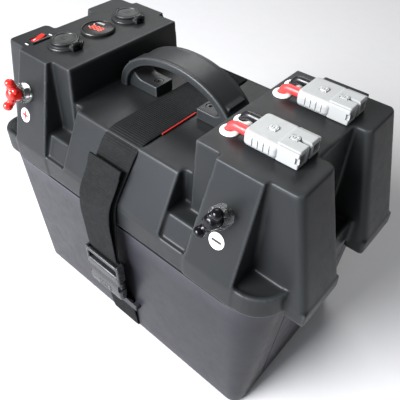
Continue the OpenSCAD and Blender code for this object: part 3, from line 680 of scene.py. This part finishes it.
# ---------------------------------------------------------------- handle
def make_handle():
    lo, hi = size("handle")
    a1, h1, w = hi[0], hi[2] - DECK, (hi[1] - lo[1]) / 2
    a0, h0 = a1 - 9.5, h1 - 8.5
    rim, lip = 3.2, 0.7
    # across the band: place along Y, and share of its thickness
    section = [(-w, 0.12), (-w + 1.5, 0), (w - 1.5, 0), (w, 0.12), (w, 0.9), (w - 1.0, 1.0), (w - rim, 1.0),
               (w - rim - 1.5, 1 - lip / 13), (-w + rim + 1.5, 1 - lip / 13), (-w + rim, 1.0), (-w + 1.0, 1.0),
               (-w, 0.9)]
    steps = 96
    loops = []
    for i in range(steps + 1):
        t = math.pi * i / steps
        p, q = Vector((a0 * math.cos(t), h0 * math.sin(t))), Vector((a1 * math.cos(t), h1 * math.sin(t)))
        loops.append([(p.lerp(q, k)[0], y, DECK + p.lerp(q, k)[1]) for y, k in section])
    s = Shape().add(loft(loops))
    pad_x0, pad_x1, pad_h, curve, pad_y = 28, 48, 12, 13, 12.5
    profile = [(pad_x0, 0), (pad_x0, pad_h), (pad_x1, pad_h)]
    for i in range(1, 9):
        b = math.pi / 2 * i / 8
        profile.append((pad_x1 + curve * math.sin(b), pad_h + curve - curve * math.cos(b)))
    profile += [(62, 30), (68, 28), (71, 0)]
    for sx in (1, -1):
        s.add(loft([[(sx * x, y, DECK + z) for x, z in profile] for y in (-pad_y, pad_y)]))
    o = s.obj("handle_grip", HANDLE_BLACK)
    remesh(o, 0.7, 5)
    holes = Shape()
    screw_x, pocket_r = 36, 5.4
    for sx in (1, -1):
        holes.add(rod((sx * screw_x, 0, DECK + 9), (sx * screw_x, 0, DECK + 40), pocket_r, 40))
    cut(o, holes.obj("pockets"), sharp=50)
    return o


show(make_handle(), "lid", "handle", slot="handle_plastic")


# ---------------------------------------------------------------- webbing
def path_points(pts, radius, step):
    """A smooth line through (y, z, x) points, cut into equal steps."""
    line = fillet([Vector((p[2], p[0], p[1])) for p in pts], radius, 10)
    out, carry = [line[0]], 0.0
    for a, b in zip(line, line[1:]):
        d = (b - a).length
        pos = step - carry
        while pos <= d:
            out.append(a.lerp(b, pos / d))
            pos += step
        carry = d - (pos - step)
    return out


LOW_X, DECK_X, STRAP_W = -11.0, -1.0, 46.0
# across the webbing, in shares of its half width
WEB_COLS = [-1, -0.985, -0.93, -0.86, -0.6, -0.3, 0, 0.3, 0.6, 0.86, 0.93, 0.985, 1]
WEB_PITCH = 2.6


def webbing(name, pts, width, thick=1.8, radius=14, rib=0.26, mat=WEB, sag=0.0, hem=0):
    """Ribbed webbing along a line. The last stretch, hem long, is folded double."""
    step = WEB_PITCH / 6
    line = path_points(pts, radius, step)
    loops = []
    n = len(line)
    for i, p in enumerate(line):
        t = (line[min(i + 2, n - 1)] - line[max(i - 2, 0)]).normalized()
        side = Vector((1, 0, 0))
        nrm = side.cross(t).normalized()
        s = i * step
        wave = rib * math.sin(2 * math.pi * s / WEB_PITCH)
        fold = thick * 0.5 if s > n * step - hem else 0
        wob = 0.25 * noise.noise(Vector((s * 0.02, 3.1, 0)))
        top, bottom = [], []
        for c in WEB_COLS:
            edge = 1 if abs(c) < 0.9 else 0.35
            thin = (1.0 if abs(c) < 0.97 else 0.75) * (0.55 if abs(c) == 1 else 1)
            x = side * (c * width / 2 + wob)
            lift = nrm * (thick / 2 * thin + wave * edge + fold)
            low = nrm * (-thick / 2 * thin + wave * edge)
            bow = nrm * (sag * (1 - c * c))
            top.append(p + x + lift + bow)
            bottom.append(p + x + low + bow)
        loops.append(top + bottom[::-1])
    return Shape().add(loft(loops)).obj(name, mat, 60, lambda me: weave_map(me, width, step))


def weave_map(me, width, step):
    """Lays the weave's coordinates across and along the webbing, in millimetres."""
    uv = me.uv_layers.new(name="weave")
    k = len(WEB_COLS)
    for poly in me.polygons:
        for li in poly.loop_indices:
            row, col = divmod(me.loops[li].vertex_index, 2 * k)
            c = WEB_COLS[col] if col < k else WEB_COLS[2 * k - 1 - col]
            uv.data[li].uv = (c * width / 2, row * step)


def make_strap():
    """Points are (y, z, x) on the webbing's middle line."""
    lift = 1.25
    front, deck = DECK_Y + lift, DECK + lift
    upper = [(-121, 132, LOW_X), (-121, 156, LOW_X), (-119, 205, LOW_X + 2), (-116.8, RIDGE, LOW_X + 3),
             (-front, deck, DECK_X), (front, deck, DECK_X), (116.8, RIDGE, LOW_X + 3), (116.4, 205, LOW_X),
             (114.6, 199, LOW_X)]
    show(webbing("strap_over_lid", upper, STRAP_W), "lid", "strap_upper", slot="webbing")
    tail = [(-123.1, 150, LOW_X), (-124.1, 160, LOW_X), (-125.3, 191, LOW_X + 1), (-126.1, 211, LOW_X + 1),
            (-123.3, 236, LOW_X + 2), (-113.4, 255, LOW_X + 4), (-104.6, 274, LOW_X + 5)]
    free_end = webbing("strap_free_end", tail, STRAP_W - 0.4, radius=18, sag=-0.6, hem=9)
    show(free_end, "lid", "strap_tail", slot="webbing")
    lower = [(114, 196.9, LOW_X), (108.2, 82, LOW_X), (108.2, 34, LOW_X), (105.3, 3.45, LOW_X),
             (-105.3, 3.45, LOW_X), (-108.2, 34, LOW_X), (-108.2, 63, LOW_X), (-121, 85, LOW_X),
             (-121, 100, LOW_X)]
    show(webbing("strap_under_tub", lower, STRAP_W, radius=5), "tub", "strap_lower", slot="webbing")
    line = [(-55.6, DECK + 1.0, 0), (-6.4, DECK + 1.0, 0)]
    edging = webbing("strap_red_edge", line, 1.5, thick=1.7, rib=0.05, mat=WEB_RED)
    for v in edging.data.vertices:
        v.co.x += (DECK_X + STRAP_W / 2 + 0.5) * MM
    show(edging, "lid", "strap_edge", slot="red_edge")


make_strap()


# ---------------------------------------------------------------- buckle
BUCKLE_Y = -123.0


def slab(x0, x1, y0, y1, z0, z1, bevel=1.5):
    verts, faces = plate(x0, x1, y0, y1, z0, z1, bevel, bevel)
    return [Vector((LOW_X + p[0], BUCKLE_Y + p[1], p[2])) for p in verts], faces


def buckle_lower(z0, z1, half):
    loops = []
    steps = 16
    for i in range(steps + 1):
        t = i / steps
        bulge = 5.5 - 1.6 * (1 - math.sin(math.pi * min(t * 1.15, 1))) ** 2
        wide = half - 2.2 * (1 - math.sin(math.pi * min(0.12 + t * 0.8, 1) * 0.9)) ** 2
        if i in (0, steps):
            bulge -= 1.2
            wide -= 1.0
        ring = rrect(2 * wide, 2 * bulge, 3.2, 0, 5)
        loops.append([(LOW_X + p[0], BUCKLE_Y + p[1], z0 + (z1 - z0) * t) for p in ring])
    o = remesh(Shape().add(loft(loops)).obj("buckle_lower", BUCKLE), 0.45, 3)
    c = Shape()
    for s in (-1, 1):
        c.add(slab(s * half - 4, s * half + 4, -8, 8, z0 + 16, z0 + 27, 1.2))
    c.add(slab(-half + 3, half - 3, -3.1, 3.1, z0 + 15, z1 + 5, 0.8))
    c.add(slab(-24, 24, 0.4, 3.4, z0 - 5, z0 + 13, 0.5))
    cut(o, c.obj("windows"), sharp=50)
    ribs = Shape()
    for k in range(3):
        ribs.add(slab(-10, 10, -6.2, -4.6, z0 + 6 + 3.4 * k, z0 + 7.5 + 3.4 * k, 0.5))
    cut(o, remesh(ribs.obj("grips"), 0.35, 2), "UNION", sharp=50)
    return o


def buckle_upper(z0, z1, half):
    s = Shape()
    s.add(slab(-half, half, -5.5, 5.5, z0, z0 + 10.5, 2.2))
    for k in (-1, 1):
        s.add(slab(*sorted((k * (half - 4), k * half)), -5.2, 5.2, z0 + 2, z1 - 0.6, 1.8))
        s.add(slab(*sorted((k * (half - 9.6), k * (half - 4.2))), -2.4, 2.4, z0 - 14.6, z0 + 3, 0.8))
        s.add(slab(*sorted((k * (half - 7), k * (half - 1.3))), -2.4, 2.4, z0 - 14, z0 - 7, 1.2))
    s.add(slab(-3, 3, -2.2, 2.2, z0 - 14.6, z0 + 3, 0.8))
    s.add(slab(-half + 1, half - 1, -5.4, -0.6, z1 - 7.5, z1 - 2.4, 1.8))
    s.add(slab(-half + 1, half - 1, 1.6, 5.4, z1 - 5.5, z1 - 0.6, 1.6))
    s.add(slab(-half + 1, half - 1, 2.6, 5.4, z0 + 8, z1 - 3, 1.0))
    return remesh(s.obj("buckle_upper", BUCKLE), 0.45, 3)


def make_buckle():
    lo, hi = size("buckle_female")
    half = (hi[0] - lo[0]) / 2
    show(buckle_lower(lo[2], hi[2], half), "tub", "buckle_female", slot="buckle_plastic")
    upper = buckle_upper(hi[2] + 0.3, size("buckle_male")[1][2], half)
    show(upper, "lid", "buckle_male", slot="buckle_plastic")


make_buckle()


# ---------------------------------------------------------------- sockets, caps and meter
ROW_X, PITCH, ROW_Y = -131.0, 45.0, 1.0
METER_TURN = math.radians(6)
FACE_Z = 3.16


def at_row(k):
    """Place of a fitting in the row: -1 and 1 are the sockets, 0 is the meter."""
    return Matrix.Translation((ROW_X, ROW_Y + k * PITCH, TOP))


def make_sockets():
    s = Shape()
    outer = fillet([(11.9, -38), (14.2, -38), (14.2, -0.1), (19.4, -0.05), (19.4, 1.7), (18.4, 2.5),
                    (17.4, 2.6), (15.9, 4.0), (11.9, 4.0)], [0, .4, .2, .2, .8, .5, .4, .5, .4], 4, True)
    lug = fillet([(-4.6, 0.5), (-4.6, 3.4), (-2.0, 6.9), (2.4, 7.4), (3.4, 4.5), (3.2, 0.5)], 1.2, 4, True)
    for k in (-1, 1):
        s.add(lathe(outer, 96), at_row(k))
        for i in range(11):
            z = -10 - 2.4 * i
            s.add(lathe([(14.1, z - 0.8), (14.7, z), (14.1, z + 0.8), (13.5, z)], 48), at_row(k))
        for y in (-5, 5):
            turn = Matrix.Translation((18.7, y, 0)) @ Matrix.Rotation(math.pi / 2, 4, "X")
            s.add(prism(lug, -1.5, 1.5, 0.5), at_row(k) @ turn)
    return s.obj("socket_bezels", GLOSS, 40)


show(make_sockets(), "lid", "socket_bodies", slot="fitting_black")


def make_cap(k, name):
    s = Shape()
    top = fillet([(0, 7.0), (2.6, 7.0), (3.1, 6.5), (10.9, 6.5), (11.5, 7.5), (13.3, 7.5), (13.9, 6.8),
                  (15.4, 6.6), (15.4, 4.4), (9.7, 4.3), (9.6, 3.6), (8.4, 3.6), (8.3, 4.5), (0, 4.5)],
                 [0, .5, .4, .4, .5, .5, .5, .7, .4, .3, .2, .2, .2, 0], 4)
    s.add(lathe(top, 96), at_row(k))
    s.add(plate(11, 20.4, -3, 3, 4.4, 7.0, 0.8, 0.5, 3), at_row(k))
    s.add(rod((18.7, -3.05, 6), (18.7, 3.05, 6), 2.9, 32), at_row(k))
    tab = fillet([(-13, -3.8), (-17.3, -3.2), (-17.3, 3.2), (-13, 3.8)], 1.2, 4, True)
    s.add(prism(tab, 4.4, 6.6, 0.6), at_row(k))
    for i in range(3):
        x = -16.6 + i * 0.9
        s.add(rod((x, -2.4, 6.65), (x, 2.4, 6.65), 0.28, 10), at_row(k))
    return s.obj(name, CAP, 40)


show(make_cap(-1, "dust_cap_near"), "cap_1", "cap_1", slot="cap_black")
show(make_cap(1, "dust_cap_far"), "cap_2", "cap_2", slot="cap_black")


def figure_bar(x0, y0, x1, y1, shift):
    """One pointed bar of a figure."""
    p, q = Vector((x0, y0)), Vector((x1, y1))
    t = (q - p).normalized()
    nrm = Vector((-t.y, t.x)) * 0.33
    a = [p, p + t * 0.5 + nrm, q - t * 0.5 + nrm, q, q - t * 0.5 - nrm, p + t * 0.5 - nrm]
    return prism([(v[0] + shift, v[1]) for v in a], FACE_Z, FACE_Z + 0.14)


def make_meter():
    rim = fillet([(14.2, -26), (14.2, -0.1), (19.4, -0.05), (19.4, 2.7), (17.9, 4.0), (17.1, 3.6), (17.0, 1.4),
                  (0, 1.3), (0, -26)], [.4, .2, .2, .9, .6, .3, .2, 0, 0], 4)
    bezel = Shape().add(lathe(rim, 96), at_row(0))
    show(bezel.obj("meter_bezel", GLOSS, 40), "lid", "meter_body", slot="fitting_black")
    lens = Shape().add(lathe([(0, 1.5), (16.9, 1.5), (16.9, 2.7), (16.4, 3.0), (0, 3.15)], 96), at_row(0))
    show(lens.obj("meter_window", LENS, 40), "lid", "meter_lens", slot="lens")
    face = at_row(0) @ Matrix.Translation((0, -1.5, 0)) @ Matrix.Rotation(METER_TURN, 4, "Z")
    figures = Shape()
    for k in (-1, 0, 1):
        for y in (-3.7, 0, 3.7):
            figures.add(figure_bar(-1.7, y, 1.7, y, k * 6.0), face)
        for x in (-1.9, 1.9):
            for y0, y1 in ((-3.5, -0.2), (0.2, 3.5)):
                figures.add(figure_bar(x, y0, x, y1, k * 6.0), face)
    show(figures.obj("meter_numerals", DIGIT, 40), "lid", "meter_digits", slot="digits")
    m = at_row(0) @ Matrix.Rotation(METER_TURN, 4, "Z")
    label = Shape().add(prism([(-10.5, 8.2), (1.5, 8.2), (0.5, 11.4), (-8.0, 11.4)], FACE_Z, FACE_Z + 0.1), m)
    show(label.obj("meter_label", PRINT_GREY, 40), "lid", slot="white_label")
    dots = Shape()
    for x, y, r in ((-9.5, 4.2, 0.9), (-10.5, -3.0, 0.7)):
        dots.add(prism(disc(x, y, r, 0, 16), FACE_Z, FACE_Z + 0.14), m)
    show(dots.obj("meter_prints", WHITE, 40), "lid", slot="white_label")


make_meter()


# ---------------------------------------------------------------- switch
def make_switch():
    lo, hi = size("switch_frame")
    cx, cy = (lo[0] + hi[0]) / 2, (lo[1] + hi[1]) / 2
    w, l = (hi[0] - lo[0]) / 2, (hi[1] - lo[1]) / 2
    at = Matrix.Translation((cx, cy, TOP))
    # inset across, inset along, height, corner radius
    rows = ((1.5, 1.5, -17, 1), (1.5, 1.5, -0.1, 1), (0.1, 0.1, 0, 1.6), (0, 0, 0.6, 1.8), (0, 0, 1.3, 1.8),
            (0.8, 0.8, 2.0, 1.6), (2.4, 2.4, 2.0, 1), (2.9, 2.7, 1.4, .8), (3, 2.8, -12, .8))
    s = Shape().add(loft([rrect(2 * (w - a), 2 * (l - b), r, z, 4) for a, b, z, r in rows]), at)
    show(s.obj("switch_bezel", GLOSS, 40), "lid", "switch_frame", slot="fitting_black")
    m = at @ Matrix.Translation((0, 0, -1)) @ Matrix.Rotation(math.radians(11), 4, "X")
    hw = w - 3.3
    key = fillet([(-7.8, 1), (0, -2.2), (7.8, 1), (7.8, 3.7), (0, 2.9), (-7.8, 3.7)],
                 [1, 1, 1, .9, 6, .9], 5, True)
    loops = []
    for k, x in ((0.88, -hw), (0.97, -hw + 0.35), (1, -hw + 0.9), (1, hw - 0.9), (0.97, hw - 0.35), (0.88, hw)):
        loops.append([(x, p[0] * (0.5 + k / 2), 1 + (p[1] - 1) * k) for p in key])
    show(Shape().add(loft(loops), m).obj("rocker_key", RED, 40), "rocker", "rocker", slot="red_gloss")
    dash = Shape().add(block(-0.5, 0.5, -6.2, -3.2, 3.2, 3.62), m)
    show(dash.obj("rocker_print", WHITE, 40), "rocker", slot="white_label")
    marks = Shape()
    for y0, y1 in ((-16.0, -14.4), (14.4, 16.0)):
        marks.add(plate(cx - 2.6, cx + 2.6, cy + y0, cy + y1, TOP - 0.1, TOP + 0.12, 0.5, 0, 3))
    show(marks.obj("switch_prints", WHITE, 40), "lid", slot="white_label")


make_switch()


# ---------------------------------------------------------------- terminals
STUD_X, STUD_Z = {-1: -141, 1: 132}, 290
NUT_LIFT, LABEL_DROP = 9.4, 26


def on_panel(s):
    """A stud's place, with Z out of its leaning panel: -1 is the positive one and 1 the negative."""
    y = PANEL_Y + (TOP - STUD_Z) * math.tan(TILT)
    return Matrix.Translation((STUD_X[s], -y, STUD_Z)) @ Matrix.Rotation(math.pi / 2 - TILT, 4, "X")


def on_label(s):
    return on_panel(s) @ Matrix.Translation((0, -LABEL_DROP, 0))


def make_stud(at):
    """Threaded at its foot and tip, plain inside the collar, with a six-sided head behind the panel."""
    profile = [(0, 19.2), (3.2, 19.2), (3.9, 18.6)]
    z = 18.0
    while z > -6:
        profile += [(3.98, z), (3.35, z - 0.5)] if not -1 < z < 9 else [(3.9, z)]
        z -= 1.0
    profile += [(3.9, -6.1), (0, -6.1)]
    head = fillet([(0, -10.3), (6.6, -10.3), (7, -9.8), (7, -5.6), (6.6, -5.1), (0, -5.1)], 0.2)
    return Shape().add(lathe(profile, 32), at).add(lathe(head, 6), at)


def make_wing_nut(name, mat, at, turn):
    m = at @ Matrix.Translation((0, 0, NUT_LIFT)) @ Matrix.Rotation(math.radians(turn), 4, "Z")
    s = Shape()
    hub = fillet([(0, 0.1), (7.3, 0.1), (7.3, 4), (6.9, 9), (6.2, 11.4), (4, 13.2), (0, 13.6)],
                 [0, 1, 2, 2, 2, 2, 0])
    s.add(lathe(hub, 40), m)
    for k in (-1, 1):
        s.add(rod((k * 4, 0, 5.5), (k * 11.5, 0, 10), 4.7, 24, 4.0), m)
        s.add(ball((k * 9.0, 0, 8.2), 4.5, (1.1, 0.9, 1.05)), m)
        s.add(ball((k * 12.9, 0, 11.4), 4.9, (1.0, 1.04, 1.1)), m)
        s.add(ball((k * 5.4, k * 2.6, 9.6), 3.4, (1, 1, 0.9)), m)
        s.add(ball((k * 4.6, -k * 3.6, 7.0), 3.6), m)
    nut = remesh(s.obj(name, mat), 0.35, 8)
    hole = Shape().add(rod((0, 0, -3), (0, 0, 11), 4.06, 40), m)
    return cut(nut, hole.obj("thread_hole"), sharp=None)


def make_terminals():
    for s, name, cad, mat, turn, slot in ((-1, "positive", "pos", RED, 86, "red_gloss"),
                                          (1, "negative", "neg", NUT_BLACK, 64, "black_gloss")):
        show(make_stud(on_panel(s)).obj(name + "_stud", STUD, 30), "lid", "stud_" + cad, slot="nickel")
        nut = make_wing_nut(name + "_wing_nut", mat, on_panel(s), turn)
        show(nut, "wing_" + cad, "wing_" + cad, slot=slot)
    collar = fillet([(4.15, 0.05), (10.5, 0.05), (10.5, 8.5), (7.6, 8.5), (7.2, 6.6), (4.15, 6.6)],
                    [.2, 1.2, 1.4, .5, .5, .2], 5, True)
    c = Shape()
    for s in (-1, 1):
        c.add(lathe(collar, 96), on_panel(s))
    show(c.obj("terminal_collars", CLEAR, 40), "lid", "collars", slot="collar_clear")
    sticker = [(0, 0.02), (7.9, 0.02), (8.0, 0.2), (7.85, 0.38), (0, 0.42)]
    for s, name, cad in ((-1, "positive", "pos"), (1, "negative", "neg")):
        label = Shape().add(lathe(sticker, 72), on_label(s))
        show(label.obj(name + "_label", WHITE, 40), "lid", "sticker_" + cad, slot="white_label")

    def bar(l, w):
        return plate(-l, l, -w, w, 0.42, 0.62, 0.25, 0.05, 3, 2)

    plus = Shape()
    for a in (0, math.pi / 2):
        plus.add(bar(4.8, 1.25), on_label(-1) @ Matrix.Rotation(a, 4, "Z"))
    show(plus.obj("plus_mark", PRINT_RED, 40), "lid", "sticker_marks", slot="marks")
    minus = Shape().add(bar(5.2, 1.25), on_label(1))
    show(minus.obj("minus_mark", PRINT_BLACK, 40), "lid", slot="marks")


make_terminals()


# ---------------------------------------------------------------- connectors, grommets and leads
PLUG_X, PLUG_Y, PLUG_L, PLUG_W, PLUG_H = 119.0, 39.0, 48.0, 37.0, 16.0
PLUG_SCREWS = (14, 34)
LEAD_Y, LEAD_R, LEAD_BEND, LEAD_TAIL, LEAD_GRIP = 9.6, 4.2, 7, 45, 17
GROMMET_X = 97
PLUG_Z = size("plug_1")[0][2]


def plug_body(name):
    h, w = PLUG_H, PLUG_W / 2
    p = Shape()
    p.add(plate(-3.5, 30, -w + 1.6, w - 1.6, 0, h - 1.4, 5.0, 2.2))
    p.add(plate(-3.2, 29.5, -w, w, 1.4, h - 3.0, 5.0, 3.0))
    p.add(plate(28, PLUG_L, -w + 2.2, w - 2.2, 0, h - 1.4, 1.0, 0.9))
    p.add(plate(26.5, PLUG_L - 0.5, -w + 5, w - 5, 2, h - 0.6, 1.4, 0.8))
    for x in PLUG_SCREWS:
        p.add(plate(x - 3.2, x + 3.2, -3.2, 3.2, 4, h - 0.1, 0.6, 0.4))
    return remesh(p.obj(name, GREY), 0.4, 2)


def plug_openings():
    """Contact bays, lead holes, grip slots, the keyway and the screw holes with a groove round each."""
    h, w, mid = PLUG_H, PLUG_W / 2, PLUG_H / 2
    c = Shape()
    for k in (-1, 1):
        y = k * LEAD_Y
        c.add(plate(PLUG_L - 17, PLUG_L + 6, y - 4.6, y + 4.6, mid - 4.4, mid + 4.2, 0.6, 0.4))
        c.add(rod((-8, y, mid), (18.5, y, mid), LEAD_R + 0.25, 40))
        c.add(block(17, 33, y - 3.3, y + 3.3, mid - 1.3, mid + 1.3))
        for i in range(4):
            x = 6 + i * 5.4
            c.add(plate(x, x + 1.1, *sorted((k * (w - 0.9), k * (w + 2))), 1.8, h - 2.4, 0.3, 0.2))
        corner = sorted((k * (w - 1.5), k * (w - 4.2)))
        c.add(plate(PLUG_L - 3, PLUG_L + 4, *corner, mid - 3, mid + 3, 0.4, 0.3))
    c.add(plate(PLUG_L - 10, PLUG_L + 5, -2.1, 2.1, -3, h + 4, 0.6, 0))
    out, into = 4.1, 3.3
    for x in PLUG_SCREWS:
        c.add(rod((x, 0, -3), (x, 0, h + 5), 2.2, 24))
        for x0, x1, y0, y1 in ((-out, out, -out, -into), (-out, -into, -out, out), (into, out, -out, out),
                               (-out, out, into, out)):
            c.add(block(x + x0, x + x1, y0, y1, h - 3.2, h + 5))
    return c


def make_plug(name, cad, s):
    o = cut(plug_body(name), plug_openings().obj(name + "_openings"), sharp=40)
    o.data.transform(Matrix.Translation(Vector((PLUG_X, s * PLUG_Y, PLUG_Z)) * MM))
    show(o, "lid", cad, slot="plug_grey")


make_plug("connector_near", "plug_1", -1)
make_plug("connector_far", "plug_2", 1)


def make_grommets():
    g = Shape()
    ring = fillet([(4.45, -5), (8, -5), (8, -3.1), (6.5, -3.0), (6.5, 0), (8.9, 0.05), (9.0, 1.1), (7.6, 2.6),
                   (5.2, 3.1), (4.45, 2.4)], [.2, .4, .4, .2, .1, .3, .8, 1.2, .8, .5], 5, True)
    for s in (-1, 1):
        for k in (-1, 1):
            g.add(lathe(ring, 72), Matrix.Translation((GROMMET_X, s * PLUG_Y + k * LEAD_Y, TOP)))
    show(g.obj("grommet_rings", GROMMET, 40), "lid", "grommets", slot="grommet_white")


make_grommets()


def tube(pts, r, n=32, step=1.2):
    line = [pts[0]]
    for a, b in zip(pts, pts[1:]):
        k = max(1, int((b - a).length / step))
        line += [a.lerp(b, (i + 1) / k) for i in range(k)]
    loops = []
    for i, p in enumerate(line):
        t = (line[min(i + 1, len(line) - 1)] - line[max(i - 1, 0)]).normalized()
        side = Vector((0, 1, 0))
        up = t.cross(side).normalized()
        rr = r * (1 + 0.006 * noise.noise(p * 0.2))
        angles = [2 * math.pi * j / n for j in range(n)]
        loops.append([p + side * rr * math.cos(a) + up * rr * math.sin(a) for a in angles])
    return loft(loops)


def make_leads():
    """Up through a grommet, a quarter turn, then straight into the connector's rear."""
    z = PLUG_Z + PLUG_H / 2
    b = LEAD_BEND
    for name, cad, side, mat in (("leads_red_pair", "leads_red", -1, WIRE_RED),
                                 ("leads_black_pair", "leads_black", 1, WIRE_BLACK)):
        s = Shape()
        for k in (-1, 1):
            y = k * PLUG_Y + side * LEAD_Y
            turn = [math.pi / 2 * i / 12 for i in range(13)]
            arc = [Vector((GROMMET_X + b - b * math.cos(a), y, z - b + b * math.sin(a))) for a in turn]
            foot, tip = Vector((GROMMET_X, y, TOP - LEAD_TAIL)), Vector((PLUG_X + LEAD_GRIP, y, z))
            s.add(tube([foot, *arc, tip], LEAD_R))
        show(s.obj(name, mat, 50), "lid", cad, slot=cad.replace("leads", "lead"))


make_leads()

# ---------------------------------------------------------------- fixed parts that keep their built shape
KEPT_PARTS = (
    ("handle_screws", STEEL_BLACK, 0.4),
    ("handle_nuts", ZINC, 0.3),
    ("socket_shells", NICKEL, 0.3),
    ("socket_contacts", BRASS, 0.2),
    ("socket_nuts", CAP, 0.5),
    ("cap_pins", STEEL_BLACK, 0.2),
    ("meter_nut", CAP, 0.5),
    ("switch_tabs", BRASS, 0.15),
    ("stud_washers", ZINC, 0.2),
    ("plug_contacts", NICKEL, 0.3),
    ("plug_screws", PALE_SCREW, 0.25),
)
for node, mat, width in KEPT_PARTS:
    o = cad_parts[node]
    o.data.materials.clear()
    o.data.materials.append(mat)
    weld = o.modifiers.new("join", "WELD")
    weld.merge_threshold = 1e-6
    bevelled(o, width)
    normals = o.modifiers.new("normals", "WEIGHTED_NORMAL")
    normals.keep_sharp = True

# ---------------------------------------------------------------- floor, light and camera
bpy.ops.mesh.primitive_plane_add(size=14, location=(0, 0, -0.0004))
floor = bpy.context.active_object
floor.name = "studio_floor"
floor.data.materials.append(FLOOR)

scene = bpy.context.scene
world = scene.world or bpy.data.worlds.new("studio")
scene.world = world
world.use_nodes = True
background = world.node_tree.nodes["Background"]
background.inputs["Color"].default_value = (1, 1, 1, 1)
background.inputs["Strength"].default_value = 0.24


def softbox(name, at, aim, w, h, power, colour):
    light = bpy.data.lights.new(name, "AREA")
    light.color = colour
    light.shape = "RECTANGLE"
    light.size, light.size_y, light.energy = w, h, power
    o = bpy.data.objects.new(name, light)
    o.location = at
    o.rotation_euler = (Vector(aim) - Vector(at)).to_track_quat("-Z", "Y").to_euler()
    scene.collection.objects.link(o)


softbox("key", (-0.7, -1.9, 1.6), (0, 0, 0.2), 1.5, 1.0, 185, (1, 1, 1))
softbox("front", (-0.5, -2.3, 0.75), (0, 0, 0.2), 2.2, 0.9, 42, (0.74, 0.80, 1.0))
softbox("back_left", (-1.3, 1.5, 2.0), (0, 0, 0.25), 1.6, 1.2, 26, (1, 1, 1))

# the camera fitted to the photo: its place, and its right, down and forward directions
EYE = (0.289983, -0.312859, 0.568773)
RIGHT = Vector((0.7520943, 0.6589689, 0.0106807))
DOWN = Vector((0.4547187, -0.5071124, -0.7321666))
AHEAD = Vector((-0.4770587, 0.5555151, -0.6810418))
lens = bpy.data.cameras.new("photo_angle")
lens.lens, lens.sensor_width = 43.128, 36
lens.shift_x, lens.shift_y = 0.0041, -0.0327
lens.clip_start, lens.clip_end = 0.01, 50
camera = bpy.data.objects.new("photo_angle", lens)
camera.matrix_world = Matrix.Translation(EYE) @ Matrix([RIGHT, -DOWN, -AHEAD]).transposed().to_4x4()
scene.collection.objects.link(camera)
scene.camera = camera
scene.view_settings.view_transform = "Standard"
